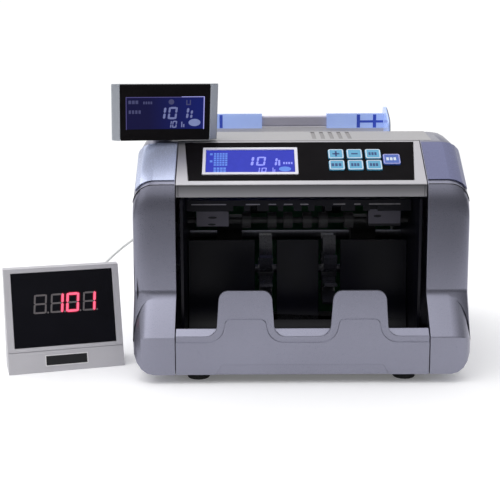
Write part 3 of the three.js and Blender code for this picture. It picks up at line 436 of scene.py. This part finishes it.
SWITCH_INK = finish_of(
    "switch_mark", (0.8, 0.8, 0.8), roughness=0.4, mottle=0.03, mottle_scale=80, grain_scale=2000,
)
# Grey strips painted as the highlights that the comb's upper edges catch.
COMB_HIGHLIGHT = finish_of(
    "comb_edge_highlight", (0.26, 0.25, 0.27), roughness=0.35, metallic=0.2, mottle_scale=80, grain=0.2,
    grain_scale=2000,
)
SCREEN = glowing("lit_screen", (0.044, 0.059, 0.53), 0.88, (0.01, 0.01, 0.08))
SCREEN_MARK = glowing("screen_marks", (0.20, 0.235, 0.76), 0.9, (0.2, 0.2, 0.5))
NAVY = graded_glow(
    "navy_screen", (0.0065, 0.0062, 0.038), (0.007, 0.012, 0.115), at(-112, 0, 0).x, at(-76, 0, 0).x
)
NAVY_RIM = glowing("navy_screen_rim", (0.08, 0.07, 0.24), 0.95)
# A brighter copy of the rim's glow: a painted highlight.
NAVY_RIM_HIGHLIGHT = glowing("navy_screen_rim_highlight", (0.40, 0.40, 0.90), 0.95)
NAVY_DIM = glowing("navy_dim_marks", (0.055, 0.057, 0.15), 0.95)
NAVY_MARK = glowing("navy_marks", (0.17, 0.19, 0.40), 0.95)
NAVY_BADGE = glowing("navy_badge", (0.20, 0.24, 0.47), 0.95)
LED = glowing("lit_led", (1.0, 0.12, 0.22), 1.5)
LED_HALO = glowing("led_halo", (0.30, 0.0, 0.018), 0.55)
LED_OFF = finish_of("unlit_led", (0.15, 0.135, 0.14), roughness=0.4, mottle_scale=80, grain_scale=2000)
SCREEN_CELLS = glowing("screen_cells", (0.078, 0.14, 0.58), 0.88, (0.1, 0.2, 0.4))


# ---------------------------------------------------------------- pieces
def piece(name, mesh, material, body):
    """A mesh as an object of one material that rides on a body."""
    made = bpy.data.objects.new(name, mesh)
    bpy.context.scene.collection.objects.link(made)
    made.data.materials.clear()
    made.data.materials.append(material)
    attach(made, body)
    return made


def closed(name, work, material, body):
    """A piece from a finished bmesh whose faces are turned outward."""
    bmesh.ops.recalc_face_normals(work, faces=work.faces)
    mesh = bpy.data.meshes.new(name)
    work.to_mesh(mesh)
    work.free()
    return piece(name, mesh, material, body)


def smooth(obj, angle=35):
    """Smooth shading, with edges sharper than the angle kept."""
    for polygon in obj.data.polygons:
        polygon.use_smooth = True
    obj.data.set_sharp_from_angle(angle=math.radians(angle))


def refined(node, material, width=0.5, segments=2, limit=28):
    """A copy of a CAD node with clean faces and rounded edges, shown in its place."""
    source = NODES[node]
    mesh = source.data.copy()
    work = bmesh.new()
    work.from_mesh(mesh)
    bmesh.ops.remove_doubles(work, verts=work.verts, dist=1e-6)
    bmesh.ops.dissolve_limit(work, angle_limit=math.radians(0.6), verts=work.verts, edges=work.edges)
    work.to_mesh(mesh)
    work.free()
    made = piece(f"{node}_finished", mesh, material, source["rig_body"])
    smooth(made)
    bevel = made.modifiers.new("edges", "BEVEL")
    bevel.width = width * MM
    bevel.segments = segments
    bevel.limit_method = "ANGLE"
    bevel.angle_limit = math.radians(limit)
    normals = made.modifiers.new("normals", "WEIGHTED_NORMAL")
    normals.keep_sharp = True
    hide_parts(node)
    return made


def coated(node, material):
    """A CAD node whose shape is right keeps it and gets its finish."""
    source = NODES[node]
    source.data.materials.clear()
    source.data.materials.append(material)
    smooth(source, 32)


def slabs(name, plane, outlines, low, high, material, body):
    """Thin solids standing on a plane, from outlines of (u, v) points in millimetres."""
    work = bmesh.new()
    for outline in outlines:
        bottom = [work.verts.new(plane.at(u, v, low)) for u, v in outline]
        top = [work.verts.new(plane.at(u, v, high)) for u, v in outline]
        work.faces.new(top)
        work.faces.new(bottom[::-1])
        for i in range(len(outline)):
            j = (i + 1) % len(outline)
            work.faces.new((bottom[i], bottom[j], top[j], top[i]))
    return closed(name, work, material, body)


def printed(name, plane, outlines, height, material, body, thick=0.06):
    """Marks printed or lit on a face that stands at the given height above its plane."""
    return slabs(name, plane, outlines, height, height + thick, material, body)


def thread(name, points, radius, material, body):
    """A thin round bead along points of the machine's own millimetres."""
    curve = bpy.data.curves.new(name, "CURVE")
    curve.dimensions = "3D"
    curve.bevel_depth = radius * MM
    curve.bevel_resolution = 2
    curve.use_fill_caps = True
    spline = curve.splines.new("POLY")
    spline.points.add(len(points) - 1)
    for point, place in zip(spline.points, points):
        point.co = (*at(*place), 1)
    made = bpy.data.objects.new(name, curve)
    bpy.context.scene.collection.objects.link(made)
    curve.materials.append(material)
    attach(made, body)
    return made


def screw_heads(name, plane, places, radius, body):
    """Domed screw heads with a cross recess of painted shade, standing on a plane."""
    tall = radius * 0.45
    profile = ((1.0, 0.0), (1.0, 0.45), (0.86, 0.8), (0.5, 1.0))
    sides = 20
    work = bmesh.new()
    for u, v in places:
        loops = []
        for part, rise in profile:
            loop = ellipse(u, v, radius * part, radius * part, sides)
            loops.append([work.verts.new(plane.at(a, b, rise * tall)) for a, b in loop])
        for low, high in zip(loops, loops[1:]):
            for i in range(sides):
                j = (i + 1) % sides
                work.faces.new((low[i], low[j], high[j], high[i]))
        work.faces.new(loops[-1])
        work.faces.new(loops[0][::-1])
    smooth(closed(name, work, ZINC, body))
    # The cross recesses are black marks: painted shade where a real recess would be dark.
    arm, half = radius * 0.42, radius * 0.11
    crosses = [rect(u - arm, v - half, u + arm, v + half) for u, v in places]
    crosses += [
        rect(u - half, v + side * half, u + half, v + side * arm)
        for u, v in places for side in (-1, 1)
    ]
    printed(f"{name}_recess_shade", plane, crosses, tall - 0.01, BLACK, body, 0.05)


def rect(u0, v0, u1, v1):
    """Outline of a rectangle between two opposite corners."""
    return [(u0, v0), (u1, v0), (u1, v1), (u0, v1)]


def round_rect(u0, v0, u1, v1, r, steps=4):
    """Outline of a rectangle with corners of radius r."""
    points = []
    corners = ((u1 - r, v0 + r, -90), (u1 - r, v1 - r, 0), (u0 + r, v1 - r, 90), (u0 + r, v0 + r, 180))
    for cu, cv, start in corners:
        for i in range(steps + 1):
            a = math.radians(start + 90 * i / steps)
            points.append((cu + r * math.cos(a), cv + r * math.sin(a)))
    return points


def ellipse(u, v, a, b, steps=20):
    """Outline of an ellipse with half axes a and b."""
    turns = [2 * math.pi * i / steps for i in range(steps)]
    return [(u + a * math.cos(turn), v + b * math.sin(turn)) for turn in turns]


def grid(u, v, columns, rows, pitch, size):
    """Columns and rows of equal small rectangles from a lower left corner."""
    places = [(u + i * pitch[0], v + j * pitch[1]) for i in range(columns) for j in range(rows)]
    return [rect(x, y, x + size[0], y + size[1]) for x, y in places]


def rings(name, plane, pairs, low, high, material, body):
    """Flat frames standing on a plane, each from an outer and an inner loop of the same count."""
    work = bmesh.new()
    for outer, inner in pairs:
        loops = [[work.verts.new(plane.at(u, v, h)) for u, v in loop]
                 for loop, h in ((outer, low), (outer, high), (inner, high), (inner, low))]
        for a, b in zip(loops, loops[1:] + loops[:1]):
            for i in range(len(a)):
                j = (i + 1) % len(a)
                work.faces.new((a[i], a[j], b[j], b[i]))
    return closed(name, work, material, body)


def framed(u0, v0, u1, v1, t, r):
    """Outer and inner loop of a rounded frame of width t."""
    return round_rect(u0, v0, u1, v1, r), round_rect(u0 + t, v0 + t, u1 - t, v1 - t, max(r - t, 0.15))


SEGMENTS = {"0": "abcdef", "1": "bc", "8": "abcdefg"}


def digit(char, u, v, w, h, t, slant=0.12, only=None, grow=0.0):
    """Seven-segment digit with its lower left corner at (u, v); grow widens its segments into a halo."""
    half = t / 2 + grow
    end = t * 0.1 - grow
    taper = half * 0.8
    left, right, mid = t / 2, w - t / 2, h / 2

    def across(y):
        x0, x1 = left + end, right - end
        return [(x0, y), (x0 + taper, y + half), (x1 - taper, y + half),
                (x1, y), (x1 - taper, y - half), (x0 + taper, y - half)]

    def upright(x, low, high):
        y0, y1 = low + end, high - end
        return [(x, y0), (x - half, y0 + taper), (x - half, y1 - taper),
                (x, y1), (x + half, y1 - taper), (x + half, y0 + taper)]

    shapes = {
        "a": across(h - t / 2), "g": across(mid), "d": across(t / 2),
        "b": upright(right, mid, h), "c": upright(right, 0, mid),
        "f": upright(left, mid, h), "e": upright(left, 0, mid),
    }
    names = SEGMENTS[char] if only is None else only
    return [[(u + x + slant * y, v + y) for x, y in shapes[n]] for n in names]


# ---------------------------------------------------------------- housing
def build_housing():
    """Covers, shoulder inlays, feet, pan, and the dark walls that are seen in the stacker."""
    for side in ("left", "right"):
        refined(f"{side}_side_cover", SILVER, 0.7, 3, 30)
        # Each inlay gets its side's copy of the same plastic: painted light on the left, painted shade on
        # the right.
        refined(f"{side}_shoulder_trim", TRIM_PAINTED_LIT if side == "left" else TRIM_PAINTED_SHADE, 0.25, 2)
        refined(f"foot_front_{side}", RUBBER, 0.5, 2)
        refined(f"foot_rear_{side}", RUBBER, 0.5, 2)
    refined("front_stacker_cover", SILVER, 0.5, 3)
    refined("control_head", HEAD, 0.5, 3)
    refined("top_cover", ROOF, 0.4, 2)
    refined("rear_cover", SILVER, 0.4, 2)
    refined("hopper_tray", TRAY_PAINTED_GLOW, 0.4, 2)
    refined("base_pan", BLACK, 0.4, 2)
    refined("stacker_tray", INNER, 0.3, 2)
    refined("upper_note_guide", INNER, 0.3, 2)
    for side in ("left", "right"):
        coated(f"{side}_frame_plate", INNER)


GUIDE_OUTER = 76.2
GUIDE_EDGE_LINE = (  # (y, z) down the front edge of a guide's flange
    (17.6, 192.9), (10.0, 190.3), (2.0, 186.8), (-5.0, 182.9), (-7.0, 179.0), (-7.7, 172.0), (-7.6, 166.5),
)


def build_hopper():
    """Rail, thickness knob, and the two sliding guides with their ribs and dark front edges."""
    refined("hopper_rail", RAIL, 0.5, 2)
    for side in ("left", "right"):
        refined(f"{side}_note_guide", GUIDE, 0.3, 2)
    refined("thickness_knob", BLACK, 0.5, 2)
    ribs = {
        "left": [rect(-62.4, 176.2, -59.8, 187.0)],
        "right": [rect(52.0, 176.2, 54.8, 187.0), rect(65.5, 176.2, 68.2, 187.0),
                  rect(54.8, 180.3, 65.5, 182.2), rect(68.2, 180.3, 74.0, 182.2)],
    }
    for side, outlines in ribs.items():
        body = NODES[f"{side}_note_guide"]["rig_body"]
        printed(f"{side}_guide_ribs", SLEEVE_FRONT, outlines, 0.0, RIB, body, 0.15)
        x = GUIDE_OUTER if side == "right" else -GUIDE_OUTER
        edge = [(x, y, z) for y, z in GUIDE_EDGE_LINE]
        thread(f"{side}_guide_edge", edge, 0.35, GUIDE_EDGE, body)


def build_roof_grooves():
    """Shade in the five slots of the top cover."""
    strips = [rect(x - 1.45, 8.8, x + 1.45, 37.0) for x in (12.3 + 6.8 * i for i in range(5))]
    printed("roof_groove_floors", ROOF_PLANE, strips, 0.02, GROOVE, ROOT, 0.1)


CREASE_BEND = 107  # where the crease starts to turn round the column's outer corner
CREASE_REACH = 16
CREASE_BACK, CREASE_DROP = 5.5, 15.8


def build_crease_lines():
    """The fine dark joint that runs over each column and down round its outer corner."""
    for side, name in ((-1, "left"), (1, "right")):
        points = [(side * x, *LIP) for x in (92.0, 96.0, 101.0)]
        for step in range(1, 10):
            a = math.radians(step * 9)
            drop = 1 - math.cos(a)
            x = side * (CREASE_BEND + CREASE_REACH * math.sin(a))
            points.append((x, LIP[0] + CREASE_BACK * drop, LIP[1] - CREASE_DROP * drop))
        thread(f"crease_line_{name}", points, 0.32, BLACK, ROOT)


# Where the comb's upper edges carry painted highlights, as (left, right) across the machine.
COMB_HIGHLIGHT_STRIPS = ((-81.9, -55.3), (-40.5, -29.6), (-23.1, -17.4), (-11.4, -4.9), (1.1, 7.2),
               (26.1, 35.2), (42.0, 46.9), (53.3, 77.2))


def build_note_path():
    """Painted highlights along the upper edges of the comb, and the two grey sensor faces behind it."""
    strips = [rect(left, 121.9, right, 122.7) for left, right in COMB_HIGHLIGHT_STRIPS]
    printed("comb_edge_highlights", GUIDE_FRONT, strips, 0.0, COMB_HIGHLIGHT, ROOT, 0.1)
    faces = [rect(-78.3, 104.7, -53.7, 116.8), rect(53.7, 106.5, 78.3, 117.4)]
    printed("sensor_faces", GUIDE_FRONT, faces, -6.0, SENSOR, ROOT, 0.2)
    places = ((-66.1, 111.5, 3.4, 0.9), (-66.6, 106.2, 3.0, 0.8), (60.6, 112.3, 3.0, 1.0))
    eyes = [ellipse(*place) for place in places]
    printed("sensor_eyes", GUIDE_FRONT, eyes, -5.8, INNER, ROOT, 0.1)


KEY_COLUMNS = (26.9, 40.7, 54.5)
KEY_ROWS = (32.6, 20.2)
KEY_SIZE = (11.6, 10.9)
KEY_TOP = 0.9
KEY_MARGIN = 0.35


def key_places():
    """Each key's centre and size on the slope: two rows of three, and the start key beside them."""
    names = ("plus", "minus", "mode", "add", "ultraviolet", "magnetic")
    places = {name: (KEY_COLUMNS[i % 3], KEY_ROWS[i // 3], *KEY_SIZE) for i, name in enumerate(names)}
    return {**places, "start": (67.9, 26.6, 12.8, 11.6)}


def legend_of(name, u, v):
    """Generic marks in place of words: a plus, a minus, or a row of short bars."""
    if name == "plus":
        return [rect(u - 2.6, v - 0.7, u + 2.6, v + 0.7), rect(u - 0.7, v - 2.9, u + 0.7, v + 2.9)]
    if name == "minus":
        return [rect(u - 2.4, v - 0.7, u + 2.4, v + 0.7)]
    half = 4.0 if name in ("add", "start") else 3.3
    tall = 1.6
    count = 3
    pitch = 2 * half / count
    return grid(u - half, v - tall, count, 1, (pitch, 0), (0.72 * pitch, 2 * tall))


HEAD_SEAM = 89.4
LCD_UPPER_ROW = 20.8
LCD_LOWER_ROW = 13.4


def build_panel():
    """Overlay, screen with its lit marks, keys with their borders and legends, and the head's seams."""
    refined("panel_overlay", OVERLAY, 0.15, 2)
    refined("lcd_frame", SCREEN_RIM, 0.3, 2)
    coated("lcd_window", SCREEN)
    for key, (u, v, width, height) in key_places().items():
        body = NODES[f"key_{key}"]["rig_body"]
        start = key == "start"
        refined(f"key_{key}", KEY_DARK if start else KEY_LIGHT, 0.4, 3)
        across = width / 2 - KEY_MARGIN
        tall = height / 2 - KEY_MARGIN
        edge = framed(u - across, v - tall, u + across, v + tall, 0.75, 1.2)
        slot, rim, ink = ("key_dark", KEY_START_RIM, KEY_RIM) if start else ("key_light", KEY_RIM, KEY_INK)
        rings(f"key_{key}_border", SLOPE, [edge], KEY_TOP, KEY_TOP + 0.08, rim, body)
        printed(f"key_{key}_legend", SLOPE, legend_of(key, u, v), KEY_TOP, ink, body)
    glass = -0.2
    cells = grid(-64, LCD_UPPER_ROW, 5, 6, (2.1, 2.5), (1.65, 1.9))
    cells += grid(-64, LCD_LOWER_ROW, 4, 2, (2.4, 3.1), (1.9, 2.4))
    cells += grid(-67, 24.7, 1, 2, (0, 8.0), (2.0, 2.3))
    printed("lcd_cells", SLOPE, cells, glass, SCREEN_CELLS, ROOT)
    marks = digit("1", -41.5, LCD_UPPER_ROW, 6.6, 10, 1.9) + digit("0", -32.8, LCD_UPPER_ROW, 6.6, 10, 1.5)
    marks += digit("1", -23.0, LCD_UPPER_ROW, 5.6, 8.5, 1.6) + [rect(-16.2, LCD_UPPER_ROW, -14.8, 27)]
    marks += grid(-12.6, 22.4, 4, 1, (1.9, 0), (1.2, 2.3))
    for char, u in (("1", -34.0), ("0", -29.1)):
        marks += digit(char, u, LCD_LOWER_ROW, 3.8, 5.1, 0.9)
    marks += [rect(-20.6, LCD_LOWER_ROW, -19.9, 18.5), rect(-19.3, LCD_LOWER_ROW, -18.6, 16.5)]
    printed("lcd_marks", SLOPE, marks, glass, SCREEN_MARK, ROOT)
    badge = [ellipse(-11.4, 17.0, 4.5, 2.7)]
    printed("lcd_badge", SLOPE, badge, glass, SCREEN_CELLS, ROOT)
    line = [rect(-90.6, 140.1, 90.6, 140.5)]
    printed("head_lip_line", HEAD_FRONT, line, -0.04, BLACK, ROOT)
    for side, x in (("left", -HEAD_SEAM), ("right", HEAD_SEAM)):
        seam = [rect(x - 0.2, 132.6, x + 0.2, 140.6)]
        printed(f"head_seam_{side}", HEAD_FRONT, seam, -0.04, BLACK, ROOT)


def build_drive():
    """Shafts, rollers, wheels, belts, motor and electrics, which keep their CAD shape."""
    coated("motor_pulley", STEEL)
    for node in ("feed_shaft", "pickup_shaft", "stacker_shaft"):
        coated(node, DARK_STEEL)
    coated("exit_roller_shaft", DARK_ROLLER)
    for side in ("left", "right"):
        coated(f"feed_roller_{side}", RUBBER)
        coated(f"stacker_wheel_{side}", WHEEL)
    for node in ("drive_belt", "pickup_belt", "stacker_belt"):
        coated(node, RUBBER)
    coated("drive_motor", ZINC)
    coated("main_board", BOARD)
    coated("power_transformer", IRON)


def build_rear():
    """Inlet, switch with its two marks, socket, and the screws of the rear cover."""
    refined("power_inlet", BLACK, 0.08, 1)
    refined("power_rocker", RED, 0.4, 2)
    refined("display_port", BLACK, 0.3, 2)
    screw_heads("rear_cover_screws", REAR, [(u, v) for u in (-83, 83) for v in (30, 88)], 3.0, ROOT)
    screw_heads("inlet_screws", REAR_INLET, [(-9.9, 40.9), (-69.6, 23.1)], 1.2, ROOT)
    body = NODES["power_rocker"]["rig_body"]
    ring = (ellipse(0, 3.0, 1.7, 1.7), ellipse(0, 3.0, 1.25, 1.25))
    rings("rocker_off_mark", ROCKER_LOW, [ring], 0.02, 0.08, SWITCH_INK, body)
    bar = rect(-0.3, 1.9, 0.3, 5.1)
    printed("rocker_on_mark", ROCKER_HIGH, [bar], 0.02, SWITCH_INK, body)


def build_swivel():
    """The swivelling display and what its screen shows."""
    refined("swivel_display_housing", SWIVEL_SHELL, 0.5, 3)
    refined("swivel_display_face", OVERLAY, 0.3, 2)
    refined("swivel_neck", BLACK, 0.4, 2)
    body = NODES["swivel_display_face"]["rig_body"]
    face = -0.1
    printed("swivel_screen", SWIVEL, [rect(-28.6, 8.9, 28.6, 33.0)], face, NAVY, body, 0.05)
    # The screen's edge glows in two tones; the brighter tone along the right side and the right of the top
    # is a painted highlight.
    edges = [rect(-29.1, 8.6, -28.6, 33.4), rect(-28.6, 32.9, 12, 33.4)]
    bright = [rect(28.5, 8.6, 29.2, 33.6), rect(12, 33.1, 28.5, 33.6)]
    printed("swivel_screen_edge", SWIVEL, edges, face, NAVY_RIM, body, 0.07)
    printed("swivel_screen_edge_highlight", SWIVEL, bright, face, NAVY_RIM_HIGHLIGHT, body, 0.07)
    dim = grid(-27.2, 28.2, 3, 1, (2.6, 0), (2.0, 2.6))
    dim += grid(-16.4, 28.0, 4, 1, (1.8, 0), (1.2, 2.0))
    dim += grid(-27.0, 20.8, 4, 1, (2.4, 0), (1.6, 2.6))
    dim += [ellipse(4.4, 29.6, 2.1, 2.0)]
    dim += [rect(15.5, 27.1, 18.9, 27.9), rect(15.5, 27.9, 16.3, 31.0), rect(18.1, 27.9, 18.9, 31.0)]
    printed("swivel_dim_marks", SWIVEL, dim, face + 0.05, NAVY_DIM, body, 0.04)
    lit = digit("1", -6.6, 16.6, 6.4, 9.0, 1.7) + digit("0", 1.6, 16.4, 6.6, 9.4, 1.5)
    lit += digit("1", 11.0, 16.9, 6.0, 8.2, 1.7) + digit("1", 14.6, 16.9, 5.4, 6.4, 1.6)
    lit += digit("1", 1.4, 9.8, 3.0, 5.4, 0.9) + digit("0", 4.9, 9.8, 3.4, 5.4, 0.9)
    lit += [rect(11.9, 10.2, 12.8, 14.4), rect(13.4, 10.2, 14.3, 12.6)]
    printed("swivel_digits", SWIVEL, lit, face + 0.05, NAVY_MARK, body, 0.04)
    badge = [ellipse(21.9, 13.7, 4.5, 2.8)]
    printed("swivel_badge", SWIVEL, badge, face + 0.05, NAVY_BADGE, body, 0.04)


LED_U = (20.4, 33.0, 44.7, 57.3)  # each digit's left edge
LED_V = 44.0
LED_SIZE = (9.6, 14.5)
LED_LIT = ("", "bc", "abcdef", "bc")  # the segments that glow in each digit


def build_remote():
    """The customer display with its four digits, label plate and rear screws."""
    refined("customer_display_housing", DISPLAY, 0.7, 3)
    refined("customer_display_window", SMOKE, 0.2, 2)
    coated("led_display_board", BOARD)
    face = -0.5
    lit, unlit, halo = [], [], []
    for u, names in zip(LED_U, LED_LIT):
        rest = [n for n in "abcdefg" if n not in names]
        lit += digit("8", u, LED_V, *LED_SIZE, 1.7, 0.09, names)
        unlit += digit("8", u, LED_V, *LED_SIZE, 1.3, 0.09, rest)
        halo += digit("8", u, LED_V, *LED_SIZE, 1.7, 0.09, names, 0.7)
        unlit.append(ellipse(u + LED_SIZE[0] + 1.3, LED_V + 0.6, 0.7, 0.7, 10))
    printed("led_unlit", REMOTE, unlit, face, LED_OFF, ROOT, 0.04)
    printed("led_halo", REMOTE, halo, face, LED_HALO, ROOT, 0.03)
    printed("led_lit", REMOTE, lit, face, LED, ROOT, 0.08)
    printed("label_plate", REMOTE, [rect(27.6, 4.8, 58.4, 12.0)], 0.0, PLATE, ROOT, 0.25)
    corners = [(-u, v) for u in (9, 77.5) for v in (9, 66)]
    screw_heads("customer_display_screws", REMOTE_BACK, corners, 2.6, ROOT)
    edge = framed(27, 4.2, 59, 12.6, 0.7, 0.6)
    rings("label_plate_edge", REMOTE, [edge], 0.0, 0.35, PLATE_EDGE, ROOT)


# ---------------------------------------------------------------- cord
DISPLAY_LEAD = [
    (-165.2, -43.8, 12), (-166.7, -39.0, 11.6), (-168.6, -34.4, 9.6), (-170.8, -30.4, 6.4),
    (-172.6, -26.4, 3.4), (-173.5, -21.6, 2.0),
]
MACHINE_LEAD = [
    (-173.6, 5.8, 6.5), (-174.0, 16.0, 4.2), (-175.8, 28.0, 1.8), (-179.2, 42.0, 1.5), (-183.6, 58.0, 3.4),
    (-187.4, 76.0, 8.6), (-189.2, 95.0, 17.2), (-187.0, 114.0, 28.2), (-179.8, 130.6, 39.0),
    (-168.2, 142.8, 49.6), (-153.0, 151.0, 60.8), (-135.0, 156.4, 71.6), (-115.0, 159.2, 80.4),
    (-96.0, 159.2, 86.0), (-81.6, 156.0, 88.0), (-74.2, 150.4, 88.2), (-72.0, 143.4, 88.0),
]
CORD_DIAMETER = 2.6
COIL_CENTRE = (-188.0, -8.0)
COIL_RINGS = [  # (radius, height) of each turn
    (16.9, 1.35), (14.3, 1.35), (11.7, 1.35), (11.7, 3.95), (14.3, 3.95), (16.9, 3.95), (16.9, 6.5),
]


def coil_points():
    """One turn on each ring, moving to the next ring over the end of a turn."""
    steps = 16
    points = []
    for turn, (radius, height) in enumerate(COIL_RINGS):
        following = COIL_RINGS[min(turn + 1, len(COIL_RINGS) - 1)]
        for i in range(steps):
            part = i / steps
            blend = max(0.0, (part - 0.7) / 0.3)
            blend = blend * blend * (3 - 2 * blend)
            r = radius + (following[0] - radius) * blend
            z = height + (following[1] - height) * blend
            a = 2 * math.pi * part
            points.append((COIL_CENTRE[0] + r * math.cos(a), COIL_CENTRE[1] + r * math.sin(a), z))
    last_radius, last_height = COIL_RINGS[-1]
    points.append((COIL_CENTRE[0] + last_radius, COIL_CENTRE[1], last_height))
    return points


def build_cord():
    """The lead that comes out of the customer display, lies in a coil behind it and rises to the port."""
    route = [at(*p) for p in DISPLAY_LEAD + coil_points() + MACHINE_LEAD]
    curve = bpy.data.curves.new("display_cord", "CURVE")
    curve.dimensions = "3D"
    curve.bevel_depth = CORD_DIAMETER / 2 * MM
    curve.bevel_resolution = 4
    curve.resolution_u = 6
    curve.use_fill_caps = True
    spline = curve.splines.new("BEZIER")
    spline.bezier_points.add(len(route) - 1)
    for point, place in zip(spline.bezier_points, route):
        point.co = place
        point.handle_left_type = point.handle_right_type = "AUTO"
    made = bpy.data.objects.new("display_cord", curve)
    bpy.context.scene.collection.objects.link(made)
    curve.materials.append(CORD)
    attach(made, ROOT)
    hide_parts("cord_display_lead", "cord_machine_lead", "cord_coil")
    plug = refined("cord_plug", CORD, 0.5, 3)


# ---------------------------------------------------------------- stage, light and camera
def build_stage():
    """A white table under a room that is bright above and behind, and white to the camera all round."""
    mesh = bpy.data.meshes.new("floor")
    corners = [(-1.5, -0.75, 0), (0.1, -0.55, 0), (1.3, -0.36, 0), (1.3, 1.5, 0), (-1.5, 1.5, 0)]
    mesh.from_pydata(corners, [], [(0, 1, 2, 3, 4)])
    floor = bpy.data.objects.new("floor", mesh)
    bpy.context.scene.collection.objects.link(floor)
    floor.location.z = -0.0002
    paper = finish_of("floor_paper", (0.93, 0.93, 0.935), 0.9, mottle=0.004, grain=0.02, emit=0.16)
    mesh.materials.append(paper)

    world = bpy.data.worlds.new("studio")
    bpy.context.scene.world = world
    world.use_nodes = True
    tree = world.node_tree
    tree.nodes.clear()
    out = tree.nodes.new("ShaderNodeOutputWorld")
    background = tree.nodes.new("ShaderNodeBackground")
    coords = tree.nodes.new("ShaderNodeTexCoord")
    split = tree.nodes.new("ShaderNodeSeparateXYZ")
    ramp = tree.nodes.new("ShaderNodeValToRGB")
    elements = ramp.color_ramp.elements
    elements[0].position = 0.0
    elements[0].color = (0.03, 0.03, 0.034, 1)
    elements[1].position = 1.0
    elements[1].color = (1.9, 1.9, 1.93, 1)
    for position, level in ((0.2, 0.08), (0.33, 0.42), (0.52, 0.8), (0.75, 1.5)):
        elements.new(position).color = (level, level, level * 1.02, 1)
    backdrop = tree.nodes.new("ShaderNodeMapRange")
    backdrop.inputs["From Min"].default_value = 0.0
    backdrop.inputs["From Max"].default_value = 0.5
    aside = tree.nodes.new("ShaderNodeMapRange")
    aside.inputs["From Min"].default_value = 0.15
    aside.inputs["From Max"].default_value = 0.75
    aside.inputs["To Min"].default_value = 1.0
    aside.inputs["To Max"].default_value = 0.5
    dimmed = tree.nodes.new("ShaderNodeVectorMath")
    dimmed.operation = "SCALE"
    room = tree.nodes.new("ShaderNodeMix")
    room.data_type = "RGBA"
    room.inputs["B"].default_value = (1.1, 1.1, 1.1, 1)
    path = tree.nodes.new("ShaderNodeLightPath")
    choose = tree.nodes.new("ShaderNodeMix")
    choose.data_type = "RGBA"
    choose.inputs["B"].default_value = (1.3, 1.3, 1.3, 1)
    tree.links.new(coords.outputs["Generated"], split.inputs[0])
    tree.links.new(split.outputs["Z"], ramp.inputs[0])
    tree.links.new(split.outputs["Y"], backdrop.inputs["Value"])
    tree.links.new(backdrop.outputs["Result"], room.inputs["Factor"])
    tree.links.new(split.outputs["X"], aside.inputs["Value"])
    tree.links.new(ramp.outputs[0], dimmed.inputs[0])
    tree.links.new(aside.outputs["Result"], dimmed.inputs["Scale"])
    tree.links.new(dimmed.outputs[0], room.inputs["A"])
    tree.links.new(room.outputs["Result"], choose.inputs["A"])
    tree.links.new(path.outputs["Is Camera Ray"], choose.inputs["Factor"])
    tree.links.new(choose.outputs["Result"], background.inputs[0])
    tree.links.new(background.outputs[0], out.inputs[0])
    background.inputs[1].default_value = 0.8


def area_light(name, place, target, size, energy):
    """A soft rectangular light that looks at a target."""
    data = bpy.data.lights.new(name, "AREA")
    data.shape = "RECTANGLE"
    data.size, data.size_y = size
    data.energy = energy
    made = bpy.data.objects.new(name, data)
    bpy.context.scene.collection.objects.link(made)
    made.location = place
    made.rotation_mode = "QUATERNION"
    made.rotation_quaternion = (Vector(target) - Vector(place)).to_track_quat("-Z", "Y")


def build_lights():
    """A large soft box overhead and a weak one at the front left."""
    area_light("top_box", (-0.75, 0.15, 1.5), (-0.3, 0.1, 0.0), (1.8, 1.5), 9)
    area_light("left_box", (-1.0, -0.8, 0.6), (0.0, 0.0, 0.1), (0.9, 0.9), 0.9)


def build_camera():
    """The camera that was fitted to the edges and corners of the body in the photo."""
    data = bpy.data.cameras.new("camera")
    data.sensor_width = 36
    data.lens = 70.78
    data.clip_start = 0.05
    made = bpy.data.objects.new("camera", data)
    bpy.context.scene.collection.objects.link(made)
    made.location = at(-37.4, -807, 215.5)
    pitch = Matrix.Rotation(math.radians(90 - 9.8), 4, "X")
    roll = Matrix.Rotation(-0.004, 4, "Z")
    made.rotation_mode = "QUATERNION"
    made.rotation_quaternion = (pitch @ roll).to_quaternion()
    bpy.context.scene.camera = made


bpy.context.scene.view_settings.view_transform = "Standard"
build_camera()
build_cord()
build_housing()
build_hopper()
build_note_path()
build_roof_grooves()
build_crease_lines()
build_panel()
build_drive()
build_rear()
build_swivel()
build_remote()
build_stage()
build_lights()
